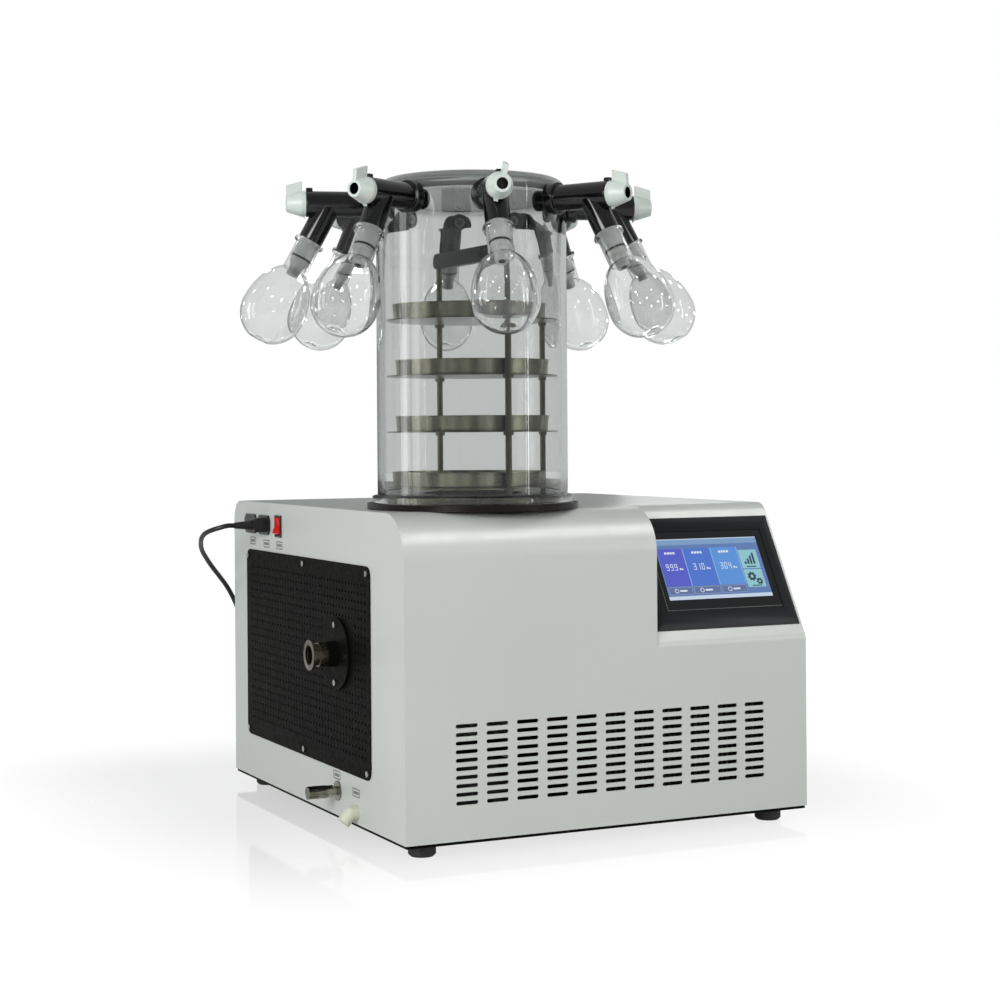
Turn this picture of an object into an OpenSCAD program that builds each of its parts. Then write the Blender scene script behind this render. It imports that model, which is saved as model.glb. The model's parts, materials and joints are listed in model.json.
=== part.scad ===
// Benchtop freeze dryer with an eight-port drying chamber.
// Working axes: X along the front, Y to the back, Z up, from the casing's front left bottom corner.
// row_frame() moves the finished pieces: the origin becomes the centre of the footprint on the bench.

/* [Cabinet] */
// Width across the front
cab_w = 585; // [570:1:680]
// Depth from front to back
cab_d = 652; // [640:1:760]
// Height of the casing above its bottom edge
cab_h = 404; // [396:1:440]
// Thickness of the casing sheet
sheet_t = 2; // [1.5:0.1:2.5]
// Radius of the front top edge
front_r = 58; // [45:1:70]
// Radius of the rear top edge
rear_r = 28; // [15:1:40]
// Height of the bench below the casing's bottom edge
bench_drop = 21; // [18:1:30]
// Diameter of a rubber foot
foot_d = 35; // [25:1:45]
// Distance of a foot's centre from the casing's edges
foot_inset = 38; // [30:1:60]
// How far the base pan hangs below the casing
pan_drop = 4; // [3:0.5:6]
// Height of the base pan's upturned edge inside the casing
pan_edge = 12; // [8:1:18]

/* [Touch panel bay] */
// Width of the bay, from the casing's right side
bay_w = 230; // [228:1:240]
// Lean of the sloped face from vertical
slope_angle = 30; // [26:1:34]
// Height at which the sloped face leaves the front
slope_z = 227; // [220:1:235]
// Radius of the bend at the top of the slope
bay_top_r = 25; // [15:1:30]
// Radius of the bend at the foot of the slope
bay_foot_r = 18; // [10:1:24]
// Width of the touch panel's frame
bezel_w = 221; // [205:1:223]
// Height of the touch panel's frame along the slope
bezel_h = 164.5; // [155:0.5:166]
// Thickness of the touch panel's frame
bezel_t = 6; // [4:0.5:8]
// Width of the sloping rim of the frame
bezel_rim = 11; // [6:1:14]
// Distance of the frame from the bay's left edge
bezel_gap = 5; // [3:0.5:7]
// Distance of the frame from the foot of the slope
bezel_rise = 18.5; // [12:0.5:22]
// Width of the screen glass
glass_w = 180; // [170:1:184]
// Height of the screen glass
glass_h = 118; // [110:1:122]
// Depth of the screen module behind the slope
module_depth = 28; // [20:1:34]

/* [Vents] */
// Columns of slots in the front
slot_cols = 11; // [8:1:11]
// Rows of slots in the front
slot_rows = 10; // [6:1:12]
// Length of a slot
slot_len = 30.4; // [26:0.2:34]
// Height of a slot
slot_h = 5; // [4:0.5:6]
// Sideways distance between columns
slot_pitch_x = 41.95; // [40:0.05:43]
// Distance between rows
slot_pitch_z = 10.55; // [9:0.05:11]
// Distance of the perforated side panel from the casing's rear
grille_rear = 62; // [56:1:72]
// Distance of the perforated side panel below the casing's top
grille_top = 70; // [66:1:80]
// Thickness of the perforated side panel
grille_t = 1.5; // [1:0.1:2]
// Corner radius of the perforated side panel
grille_r = 15; // [10:1:20]
// Width of a perforation across its corners
hole_d = 6; // [4:0.5:8]
// Distance between perforations
hole_pitch = 15; // [14:0.5:20]

/* [Drying chamber] */
// Outer radius of the clear barrel
barrel_r = 125; // [122:0.5:128]
// Wall thickness of the barrel
barrel_wall = 8; // [6:0.5:9]
// Height of the barrel with its closed top
barrel_h = 423; // [418:1:450]
// Thickness of the closed top
barrel_top = 20; // [15:1:22]
// Radius of the barrel's top edge
barrel_edge_r = 18; // [10:1:20]
// Height of the thick head that carries the ports
head_h = 45; // [42:1:48]
// Wall thickness of the head
head_wall = 15; // [13:0.5:15.5]
// Outer radius of the barrel's bottom flange
flange_r = 132; // [130:0.5:135]
// Thickness of the barrel's bottom flange
flange_t = 10; // [6:0.5:14]
// Outer radius of the rubber gasket
gasket_r = 138.7; // [138:0.1:142]
// Thickness of the gasket on the trap's rim
gasket_t = 5; // [3:0.5:7]
// Inner radius of the cold trap
trap_r = 107.5; // [104:0.5:108.5]
// Depth of the cold trap
trap_depth = 160; // [150:1:170]
// Wall thickness of the cold trap
trap_wall = 1.5; // [1:0.1:2]
// Thickness of the cold trap's top rim
rim_t = 3; // [2:0.5:4]
// Outer radius of the vapour tube that hangs in the trap
vapour_r = 66; // [60:1:70]
// Length of the vapour tube below its plate
vapour_len = 120; // [90:1:130]

/* [Shelf rack] */
// Number of shelves and trays
shelf_count = 4; // [2:1:4]
// Distance between shelves
shelf_pitch = 72.5; // [70:0.5:74]
// Height of the lowest shelf above the vapour tube's plate
shelf_rise = 11; // [9:0.5:14]
// Radius of a shelf
shelf_r = 112; // [110:0.5:113]
// Thickness of a shelf
shelf_t = 1.5; // [1:0.1:2]
// Radius of a rack rod
rod_r = 4; // [3:0.1:4.4]
// Distance of the rods from the chamber's axis
rod_ring_r = 106; // [105:0.5:107]
// Height of a tray
tray_h = 20; // [12:1:28]
// Gap between a tray's rim and the rods
tray_clear = 0.5; // [0.3:0.1:1]
// Narrowing of a tray from rim to floor
tray_draft = 2.5; // [1:0.5:6]
// Wall thickness of a tray
tray_wall = 1; // [0.6:0.1:1.5]
// Height of the lifting handle's centre above the vapour tube's plate
handle_rise = 314; // [300:1:330]
// Height of the lifting handle's section
handle_h = 20; // [14:1:24]
// Thickness of the lifting handle
handle_t = 12; // [9:1:14]

/* [Ports and flasks] */
// Turn of the first port from straight ahead
port_turn = -16; // [-20:1:-10]
// Distance of the ports' axes below the barrel's top
port_fall = 34; // [33:0.5:35]
// Radius of a valve's body
valve_r = 16.8; // [15.5:0.1:17.5]
// Radius of a valve's collar against the barrel
collar_r = 20.8; // [19:0.1:22]
// Distance of a valve's outer end from the chamber's axis
valve_end = 217; // [214:1:222]
// Radius of the spigot that enters the barrel
spigot_r = 11; // [9:0.5:12]
// Radial clearance of the spigot and the knob's plug
port_clear = 0.3; // [0.2:0.05:0.4]
// Distance of the branch from the chamber's axis
branch_from = 186; // [182:1:188]
// Lean of the branches and flasks from vertical
branch_lean = 28; // [24:1:32]
// Radius of a branch
branch_r = 16; // [15:0.5:17]
// Length of a branch
branch_len = 55; // [50:1:60]
// Radius of a flask's rim
neck_rim_r = 19.8; // [19:0.1:21]
// Outer radius of a flask's neck
neck_r = 16; // [15.5:0.1:17]
// Wall thickness of a flask
flask_wall = 1.8; // [1.5:0.1:2]
// Distance of the bulb's centre below the flask's rim
bulb_drop = 104; // [98:1:110]
// Outer radius of a flask's bulb
bulb_r = 41.8; // [38:0.1:43]
// Height of a flask's shoulder above its bulb's centre
shoulder_h = 66; // [60:1:72]
// Length of a knob beyond its valve
knob_len = 25; // [20:1:30]
// Radius of a knob at the valve
knob_r = 16.5; // [15:0.1:17]
// Radius of a knob's outer face
knob_face_r = 10.5; // [9:0.5:12]
// Radius of a knob's plug inside the valve
plug_r = 10.9; // [9:0.1:11]
// Reach of a knob's lever from its axis
lever_reach = 29.5; // [26:0.5:30]
// Thickness of a knob's lever
lever_t = 5.5; // [3:0.5:7]

/* [Side fittings] */
// Distance of the vacuum port from the casing's front
port_y = 220; // [216:1:226]
// Distance of the vacuum port below the cold trap's floor
port_under = 30; // [24:1:38]
// Radius of the vacuum port's plate
plate_r = 47; // [44:1:50]
// Outer radius of the vacuum pipe
pipe_r = 14; // [13.5:0.1:15]
// Bore radius of the vacuum pipe
bore_r = 12.5; // [11.5:0.1:12.9]
// Radius of the vacuum pipe's clamp rim
clamp_rim_r = 20; // [19:0.5:21]
// Reach of the vacuum pipe beyond the casing
pipe_reach = 42; // [38:1:50]
// Distance of the power fittings below the casing's top
power_drop = 32; // [30:0.5:38]
// Distance of the power outlet from the casing's rear
outlet_back = 80; // [76:1:84]
// Distance between the power outlet and the power inlet
inlet_step = 59; // [57:1:62]
// Distance between the power inlet and the power switch
switch_step = 60; // [56:1:64]
// Width of a power socket's face
socket_w = 50; // [46:1:52]
// Height of a power socket's face
socket_h = 28; // [26:1:29]
// Width of the power switch's frame
switch_w = 25.5; // [24:0.5:28]
// Height of the power switch's frame
switch_h = 31; // [30:0.5:33]
// Distance of the vent valve from the casing's front
vent_y = 226; // [220:1:240]
// Height of the vent valve
vent_z = 33; // [30:1:40]
// Distance of the drain from the casing's front
drain_y = 159; // [155:1:163]
// Height of the drain
drain_z = 15; // [13:0.5:18]
// Outer radius of the drain hose
drain_r = 9; // [8:0.5:10]
// Bore radius of the drain hose
drain_bore_r = 5; // [4:0.5:6]

/* [Mains lead] */
// Diameter of the mains lead
cord_d = 7; // [6:0.5:8]
// Turns of the stored coil, counted across and up
coil_turns = 2; // [2:1:3]
// Coil diameter at the middle of its turns, in lead diameters
coil_factor = 11; // [10:0.5:12]

/* [Hidden] */
$fn = 64;
eps = 0.01;
ports = 8;
port_step = 360 / ports;
PORT_IDS = [for (i = [1 : ports]) str(i)];

// Colours
PAINT = [0.80, 0.82, 0.80];
BLACK = [0.10, 0.10, 0.10];
STEEL = [0.66, 0.65, 0.61];
CLEAR = [0.85, 0.92, 0.95, 0.35];
WHITE = [0.90, 0.92, 0.90];
RED = [0.85, 0.08, 0.06];

// Chamber: the axis stands this far from the left side and the front
chamber_x = 160.8;
chamber_y = 144.9;
trap_floor_z = cab_h - trap_depth;
port_z = trap_floor_z - port_under;
rim_r = gasket_r - 2.5;
seat_z = cab_h + rim_t + gasket_t;
barrel_top_z = seat_z + barrel_h;
head_z = barrel_top_z - head_h;
port_axis_z = barrel_top_z - port_fall;
vapour_plate_t = 1.5;
vapour_plate_r = 113;
vapour_rise = 13;
rack_z = cab_h + rim_t + vapour_rise;
tray_rim_r = rod_ring_r - rod_r - tray_clear;
tray_floor_r = tray_rim_r - tray_draft;
// Each tray stands a little off centre, away from the right-hand rod
TRAY_SHIFT = [-5.4, 0, 0, -3.6];
handle_z = rack_z + handle_rise;
handle_half = rod_ring_r + 8;

// Ports
// The lip inside the barrel clears the underside of its top by this much
lip_clear = 0.4;
lip_r = port_fall - barrel_top - lip_clear;
lip_t = 7;
lip_face = sqrt(pow(barrel_r - head_wall, 2) - pow(lip_r, 2)) - port_clear;
collar_face = barrel_r + 0.2;
collar_t = 15;
valve_bore_r = plug_r + port_clear;
plug_from = 150;
throat_r = 7.3;
branch_bore_r = 6.5;
adapter_r = neck_r - flask_wall - 0.3;
adapter_tip_r = 8;
adapter_len = 57;
// Each knob rests a few degrees off upright
KNOB_TURN = [-14, 6, 0, -4, 5, 0, 2, -5];
knob_gap = 0.4;

// Footprint: the flasks reach past the casing at the front and on the left
bulb_reach = branch_from + (branch_len + bulb_drop) * sin(branch_lean);
overhang = bulb_reach * max([for (i = [0 : ports - 1]) abs(cos(port_turn + i * port_step))]) + bulb_r;
origin_x = (chamber_x - overhang + cab_w) / 2;
origin_y = (chamber_y - overhang + cab_d) / 2;

// Touch panel bay
bay_x = cab_w - bay_w;
slope_top_y = (bay_top_r + (cab_h - bay_top_r - slope_z) * sin(slope_angle)) / cos(slope_angle);
bay_foot_z = slope_z - bay_foot_r * tan(slope_angle / 2);
bezel_x = bay_x + bezel_gap;
glass_x = bezel_x + (bezel_w - glass_w) / 2;
glass_s = bezel_rise + (bezel_h - glass_h) / 2;
glass_t = 1.5;
glass_sink = 1;
bezel_edge = 1;
fit = 0.3;

// Vents
slot_x0 = 83;
slot_z0 = 46.5;
grille_y = 108;
grille_z = 62;
grille_w = cab_d - grille_y - grille_rear;
grille_h = cab_h - grille_z - grille_top;
grille_margin = 16;
grille_blank = 58;
screw_inset = 9;
screw_r = 2;
screw_hole_r = 2.2;
screw_head_r = 4;
screw_head_t = 2.2;
panel_screw_len = 8;
plate_screw_len = 10;
plate_t = 4;
plate_screw_ring = 38;
open_inset = 14;
GRILLE_SCREWS = [
  for (u = [screw_inset, grille_w / 2, grille_w - screw_inset])
    for (v = [screw_inset, grille_h - screw_inset]) [grille_y + u, grille_z + v]];
PLATE_SCREWS = [
  for (a = [0 : 90 : 270])
    [port_y + plate_screw_ring * cos(a), port_z + plate_screw_ring * sin(a)]];

// Power fittings
power_z = cab_h - power_drop;
outlet_y = cab_d - outlet_back;
inlet_y = outlet_y - inlet_step;
switch_y = inlet_y - switch_step;

// Inside
pan_t = 2;
pan_floor_z = pan_t - pan_drop;
foot_chamfer = 3;
// Turn of the sheet between two flats of a bend
bend_step = 5;
// The pipe and the drain rise into the trap's floor this far left of the chamber's axis
riser_offset = 10.8;
riser_x = chamber_x - riser_offset;
drain_riser_offset = 30.8;
drain_riser_x = chamber_x - drain_riser_offset;
// The fan stands this far from the casing's right side
fan_inset = 163;
fan_x = cab_w - fan_inset;
fan_z = 110;
fan_r = 84;
condenser_y = 12;
condenser_t = 45;
shroud_t = 2;
shroud_depth = 26;
motor_r = 34;
motor_len = 48;
shaft_r = 4;
fan_y = condenser_y + condenser_t + shroud_t + 8;
fan_depth = 16;
shaft_gap = 4;

// Mains lead: hand-set route from the plug's sleeve to the stored coil
cord_r = cord_d / 2;
cord_floor = cord_r - bench_drop;
plug_reach = 20;
sleeve_reach = 46;
CORD_ROUTE = [
  [-sleeve_reach, inlet_y, power_z], [-56, 513, 372], [-66, 516, 369.5], [-75, 524, 366],
  [-80, 536, 362], [-81, 550, 357], [-79, 565, 351], [-75, 580, 345], [-70, 595, 338],
  [-63, 610, 330], [-54, 624, 321], [-44, 637, 311], [-33, 648, 300], [-21, 658, 288],
  [-9, 667, 275], [2, 675, 260], [12, 682, 243], [21, 688, 224], [29, 693, 203],
  [36, 697, 181], [42, 700, 158], [47, 702, 134], [52, 704, 110], [57, 705, 86],
  [62, 705, 62], [68, 704, 39], [76, 702, 18], [88, 698, 1], [104, 693, -11],
  [122, 687.5, -16.5], [138, 685, cord_floor], [154, 685, cord_floor], [170, 685, cord_floor]];
coil_r = coil_factor * cord_r;
coil_x = 180;
coil_band = coil_turns * cord_d;
coil_outer_run = coil_r + coil_band / 2 - cord_r;
coil_y = CORD_ROUTE[len(CORD_ROUTE) - 1][1] + coil_outer_run;

// ---- Shared shapes ----

module row_frame() translate([-origin_x, -origin_y, bench_drop]) children();

// Extrudes an outline drawn with Y to the right and Z up, from x0 to x1
module along_x(x0, x1) translate([x0, 0, 0]) rotate([90, 0, 90]) linear_extrude(x1 - x0) children();

// Extrudes an outline drawn with X to the right and Z up, from y0 to y1
module along_y(y0, y1) translate([0, y1, 0]) rotate([90, 0, 0]) linear_extrude(y1 - y0) children();

// A rod along X from x0 to x1
module rod_x(x0, x1, r, y, z) translate([x0, y, z]) rotate([0, 90, 0]) cylinder(r = r, h = x1 - x0);

// Puts children on the sloped face: X along the front, Y up the slope, Z out of it
module on_slope() translate([0, 0, slope_z]) rotate([90 - slope_angle, 0, 0]) children();

// Puts children on a port: X runs outwards along the port, from the chamber's axis
module at_port(i)
  translate([chamber_x, chamber_y, port_axis_z])
    rotate([0, 0, port_turn + i * port_step - 90])
      children();

// Puts children on a port's branch: Z runs outwards along the branch, from the port's axis
module at_branch(i)
  at_port(i) translate([branch_from, 0, 0]) rotate([0, 180 - branch_lean, 0]) children();

module round_rect(w, h, r) {
  translate([r, 0]) square([w - 2 * r, h]);
  translate([0, r]) square([w, h - 2 * r]);
  for (x = [r, w - r]) for (y = [r, h - r]) translate([x, y]) circle(r);
}

module slot(len, h) {
  translate([-len / 2 + h / 2, -h / 2]) square([len - h, h]);
  for (x = [-1, 1]) translate([x * (len - h) / 2, 0]) circle(h / 2, $fn = 24);
}

// Points of an arc about c, from angle a0 to a1
function arc(c, r, a0, a1) =
  let (steps = ceil(abs(a1 - a0) / bend_step))
    [for (k = [0 : steps]) let (a = a0 + (a1 - a0) * k / steps) c + r * [cos(a), sin(a)]];

// The rear bend and foot, shared by the casing's two outlines
function rear_points(inset) = concat(
  arc([cab_d - rear_r, cab_h - rear_r], rear_r - inset, 90, 0), [[cab_d - inset, 0]]);

// Side outline of the casing with its rounded front, drawn in by inset
module full_outline(inset) polygon(concat(
  [[inset, 0]], arc([front_r, cab_h - front_r], front_r - inset, 180, 90), rear_points(inset)));

// Side outline of the casing where its front slopes, drawn in by inset
module bay_outline(inset) {
  lean = 180 - slope_angle;
  polygon(concat(
    [[inset, 0]],
    arc([bay_foot_r, bay_foot_z], bay_foot_r - inset, 180, lean),
    arc([slope_top_y, cab_h - bay_top_r], bay_top_r - inset, lean, 90),
    rear_points(inset)));
}

// ---- Casing ----

module base_pan() color(BLACK) difference() {
  translate([sheet_t, sheet_t, -pan_drop])
    cube([cab_w - 2 * sheet_t, cab_d - 2 * sheet_t, pan_drop + pan_edge]);
  translate([sheet_t + pan_t, sheet_t + pan_t, pan_floor_z])
    cube([cab_w - 2 * (sheet_t + pan_t), cab_d - 2 * (sheet_t + pan_t), pan_drop + pan_edge]);
  rod_x(0, sheet_t + pan_t + 1, drain_r + fit, drain_y, drain_z);
}

module left_side_panel() color(PAINT) difference() {
  along_x(0, sheet_t) full_outline(0);
  along_x(-1, sheet_t + 1) {
    translate([grille_y + open_inset, grille_z + open_inset])
      round_rect(grille_w - 2 * open_inset, grille_h - 2 * open_inset, grille_r);
    for (y = [inlet_y, outlet_y])
      translate([y - socket_body_w / 2 - fit, power_z - socket_body_h / 2 - fit])
        square([socket_body_w + 2 * fit, socket_body_h + 2 * fit]);
    translate([switch_y - switch_body_w / 2 - fit, power_z - switch_body_h / 2 - fit])
      square([switch_body_w + 2 * fit, switch_body_h + 2 * fit]);
    for (p = GRILLE_SCREWS) translate(p) circle(screw_hole_r, $fn = 24);
    translate([vent_y, vent_z]) circle(vent_shank_r + fit);
    translate([drain_y, drain_z]) circle(drain_r + fit);
  }
}

module right_side_panel() color(PAINT) along_x(cab_w - sheet_t, cab_w) bay_outline(0);

// Leaves the rear wall of a casing outline to the rear panel
module rear_trim() translate([cab_d - sheet_t - 1, -1]) square([sheet_t + 2, cab_h - rear_r + 1]);

module front_top_cover() color(PAINT) difference() {
  union() {
    along_x(sheet_t, bay_x) difference() {
      full_outline(0);
      full_outline(sheet_t);
      rear_trim();
    }
    along_x(bay_x - sheet_t, bay_x) difference() {
      full_outline(sheet_t / 2);
      bay_outline(sheet_t);
      rear_trim();
    }
    along_x(bay_x, cab_w - sheet_t) difference() {
      bay_outline(0);
      bay_outline(sheet_t);
      rear_trim();
    }
  }
  along_y(-1, sheet_t + 1)
    for (c = [0 : slot_cols - 1]) for (r = [0 : slot_rows - 1])
      translate([slot_x0 + c * slot_pitch_x, slot_z0 + r * slot_pitch_z]) slot(slot_len, slot_h);
  on_slope() translate([glass_x, glass_s, -bay_foot_r]) cube([glass_w, glass_h, 2 * bay_foot_r]);
  translate([chamber_x, chamber_y, cab_h - front_r])
    cylinder(r = trap_r + trap_wall + fit, h = 2 * front_r);
}

module rear_panel() color(PAINT) along_y(cab_d - sheet_t, cab_d) difference() {
  translate([sheet_t, 0]) square([cab_w - 2 * sheet_t, cab_h - rear_r]);
  for (c = [0 : 2]) for (r = [0 : slot_rows - 1])
    translate([cab_w / 2 + (c - 1) * 3 * slot_pitch_x, slot_z0 + 2 * r * slot_pitch_z])
      slot(3 * slot_len, slot_h);
}

module perforated_panel() color(BLACK) along_x(-grille_t, 0) difference() {
  cols = floor((grille_w - 2 * grille_margin - hole_pitch) / hole_pitch);
  rows = floor((grille_h - 2 * grille_margin - hole_pitch) / hole_pitch);
  translate([grille_y, grille_z]) round_rect(grille_w, grille_h, grille_r);
  for (c = [0 : cols]) for (r = [0 : rows]) {
    y = grille_y + grille_w / 2 + (c - cols / 2) * hole_pitch;
    z = grille_z + grille_h / 2 + (r - rows / 2) * hole_pitch;
    if (max(abs(y - port_y), abs(z - port_z)) > grille_blank)
      translate([y, z]) circle(d = hole_d, $fn = 6);
  }
  for (p = GRILLE_SCREWS) translate(p) circle(screw_hole_r, $fn = 24);
  for (p = PLATE_SCREWS) translate(p) circle(screw_hole_r, $fn = 24);
  translate([port_y, port_z]) circle(pipe_r + fit);
}

// One pan-head screw in the side panel, its head's seat at x
module side_screw(x, p, len) {
  rod_x(x - screw_head_t, x, screw_head_r, p[0], p[1]);
  rod_x(x - eps, x + len, screw_r, p[0], p[1]);
}

module panel_screws() color(STEEL) {
  for (p = GRILLE_SCREWS) side_screw(-grille_t, p, panel_screw_len);
  for (p = PLATE_SCREWS) side_screw(-grille_t - plate_t, p, plate_screw_len);
}

module feet() color(BLACK)
  for (x = [foot_inset, cab_w - foot_inset]) for (y = [foot_inset, cab_d - foot_inset])
    translate([x, y, -bench_drop]) {
      cylinder(r1 = foot_d / 2 - foot_chamfer, r2 = foot_d / 2, h = foot_chamfer);
      translate([0, 0, foot_chamfer]) cylinder(r = foot_d / 2, h = bench_drop - pan_drop - foot_chamfer);
    }

// ---- Touch panel ----

module touch_bezel() color(BLACK) on_slope() difference() {
  translate([bezel_x, bezel_rise, 0]) hull() {
    cube([bezel_w, bezel_h, bezel_edge]);
    translate([bezel_rim, bezel_rim, bezel_t - bezel_edge])
      cube([bezel_w - 2 * bezel_rim, bezel_h - 2 * bezel_rim, bezel_edge]);
  }
  translate([glass_x - fit, glass_s - fit, -1])
    cube([glass_w + 2 * fit, glass_h + 2 * fit, bezel_t + 2]);
}

// The glass lies a little below the face of its frame, and the display module hangs behind it
module touch_screen() color([0.20, 0.30, 0.65]) on_slope() {
  glass_z = bezel_t - glass_sink - glass_t;
  translate([glass_x, glass_s, glass_z]) cube([glass_w, glass_h, glass_t]);
  translate([glass_x + fit, glass_s + fit, -module_depth])
    cube([glass_w - 2 * fit, glass_h - 2 * fit, module_depth + glass_z]);
}

// ---- Vacuum port, vent valve and drain ----

boss_len = 14;
boss_wall = 3;

module vacuum_port_plate() color(BLACK) difference() {
  union() {
    rod_x(-grille_t - plate_t, -grille_t, plate_r, port_y, port_z);
    rod_x(-grille_t - plate_t - boss_len, -grille_t - plate_t, pipe_r + boss_wall, port_y, port_z);
  }
  rod_x(-cab_w, 1, pipe_r + fit, port_y, port_z);
  for (p = PLATE_SCREWS) rod_x(-cab_w, 1, screw_hole_r, p[0], p[1]);
}

clamp_rim_t = 3;
clamp_slope = 1.6;
// Seat of the centring ring in the clamp rim
centring_r = 13.1;
centring_depth = 3;
// Band round the pipe behind its rim
band_from = 12;
band_w = 8;
band_r = pipe_r + 2;
pipe_spigot = 2;

module vacuum_pipe() color(STEEL) {
  mouth_x = -pipe_reach;
  difference() {
    union() {
      rod_x(mouth_x, riser_x, pipe_r, port_y, port_z);
      rod_x(mouth_x, mouth_x + clamp_rim_t, clamp_rim_r, port_y, port_z);
      translate([mouth_x + clamp_rim_t, port_y, port_z]) rotate([0, 90, 0])
        cylinder(r1 = clamp_rim_r, r2 = pipe_r, h = clamp_slope);
      rod_x(mouth_x + band_from, mouth_x + band_from + band_w, band_r, port_y, port_z);
      translate([riser_x, port_y, port_z]) {
        sphere(pipe_r);
        cylinder(r = pipe_r, h = trap_floor_z - port_z + pipe_spigot);
      }
    }
    rod_x(mouth_x - 1, riser_x, bore_r, port_y, port_z);
    rod_x(mouth_x - 1, mouth_x + centring_depth, centring_r, port_y, port_z);
    translate([riser_x, port_y, port_z]) {
      sphere(bore_r);
      cylinder(r = bore_r, h = trap_depth);
    }
  }
}

vent_washer_r = 13;
vent_washer_t = 2;
vent_shank_r = 6.5;
vent_shank_len = 16;
vent_nut_r = 11;
vent_nut_t = 5;
vent_neck = 17;
vent_neck_r = 6;
vent_hex_r = 8;
vent_hex_len = 9;
vent_stem_r = 4;
vent_stem_len = 14;
vent_knob_r = 8.5;
vent_knob_len = 26;
vent_flute_w = 1.6;
vent_flute_depth = 1.5;
vent_flute_len = 13;

module vent_valve() color(STEEL) {
  rod_x(-vent_washer_t, 0, vent_washer_r, vent_y, vent_z);
  rod_x(-eps, vent_shank_len, vent_shank_r, vent_y, vent_z);
  translate([sheet_t, vent_y, vent_z]) rotate([0, 90, 0]) cylinder(r = vent_nut_r, h = vent_nut_t, $fn = 6);
  rod_x(-vent_neck + eps, eps - vent_washer_t, vent_neck_r, vent_y, vent_z);
  translate([-vent_neck, vent_y, vent_z]) rotate([0, 90, 0])
    cylinder(r = vent_hex_r, h = vent_hex_len, $fn = 6);
  rod_x(-vent_neck - vent_stem_len, eps - vent_neck, vent_stem_r, vent_y, vent_z);
}

module vent_knob() color(STEEL) difference() {
  face_x = -vent_neck - vent_knob_len;
  rod_x(face_x, -vent_neck - fit, vent_knob_r, vent_y, vent_z);
  rod_x(-vent_neck - vent_stem_len - 1, 0, vent_stem_r + fit, vent_y, vent_z);
  for (a = [0 : 60 : 300]) translate([face_x - 1, vent_y, vent_z]) rotate([a, 0, 0])
    translate([0, -vent_flute_w / 2, vent_knob_r - vent_flute_depth])
      cube([vent_flute_len + 1, vent_flute_w, 2 * vent_flute_depth]);
}

// The hose runs from the trap's floor down to its spout, which droops outside the casing
drain_elbow_x = -9;
drain_tip = 15;
drain_fall = 48;
// The balls at the hose's two bends stand this much proud of it
bend_proud = 0.1;

module drain_path(r, extra) {
  rod_x(drain_elbow_x, drain_riser_x, r, drain_y, drain_z);
  translate([drain_elbow_x, drain_y, drain_z]) {
    sphere(r + bend_proud);
    rotate([0, -90 - drain_fall, 0]) cylinder(r = r, h = drain_tip + extra);
  }
  translate([drain_riser_x, drain_y, drain_z]) {
    sphere(r + bend_proud);
    cylinder(r = r, h = trap_floor_z - drain_z + extra);
  }
}

module drain_hose() color([0.88, 0.90, 0.82]) difference() {
  drain_path(drain_r, 0);
  drain_path(drain_bore_r, 1);
}

// ---- Power fittings ----

socket_body_w = 38;
socket_body_h = 24;
socket_depth = 26;
socket_face_t = 2.5;
socket_corner = 6;
recess_w = 24.6;
recess_h = 17.6;
recess_depth = 16;
outlet_groove_w = 0.8;
pin_w = 2;
pin_h = 4;
// Places of the three pins: earth above, the other two below
PIN_PLACES = [[0, 4], [-7, -2.5], [7, -2.5]];

switch_frame_t = 2;
switch_body_w = 22;
switch_body_h = 28.5;
switch_depth = 24;
rocker_w = 18;
rocker_half = 12.2;
rocker_dip = 2.8;
rocker_proud = 5.4;
rocker_back = 8;
rocker_cavity_half = 13.4;
rocker_cavity_depth = 18;
rocker_tilt = 10;
rocker_pin_r = 1.5;
rocker_pin_len = 1.2;
rocker_pivot_x = 3;

// The pins of a power inlet, or the slots that take them
module pin_set(x0, x1, y, grow)
  for (p = PIN_PLACES)
    translate([x0, y + p[0] - pin_w / 2 - grow, power_z + p[1] - pin_h / 2 - grow])
      cube([x1 - x0, pin_w + 2 * grow, pin_h + 2 * grow]);

// Outline of a socket's face, its corners cut
module socket_face(w, h, corner) polygon([
  [-w / 2, -h / 4], [corner - w / 2, -h / 2], [w / 2 - corner, -h / 2], [w / 2, -h / 4],
  [w / 2, h / 4], [w / 2 - corner, h / 2], [corner - w / 2, h / 2], [-w / 2, h / 4]]);

module socket_shell(y) {
  along_x(-socket_face_t, 0) translate([y, power_z]) socket_face(socket_w, socket_h, socket_corner);
  translate([-eps, y - socket_body_w / 2, power_z - socket_body_h / 2])
    cube([socket_depth, socket_body_w, socket_body_h]);
}

module power_inlet() color(BLACK) {
  difference() {
    socket_shell(inlet_y);
    translate([-socket_face_t - 1, inlet_y - recess_w / 2, power_z - recess_h / 2])
      cube([recess_depth + 1, recess_w, recess_h]);
  }
  pin_set(0, recess_depth, inlet_y, 0);
}

// The outlet's slots stand in a raised block, bounded by a narrow groove
module power_outlet() color(BLACK) difference() {
  socket_shell(outlet_y);
  along_x(-socket_face_t - 1, -socket_face_t + 1) translate([outlet_y, power_z]) difference() {
    square([recess_w + 2 * outlet_groove_w, recess_h + 2 * outlet_groove_w], center = true);
    square([recess_w, recess_h], center = true);
  }
  pin_set(-socket_face_t - 1, recess_depth, outlet_y, fit);
}

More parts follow.
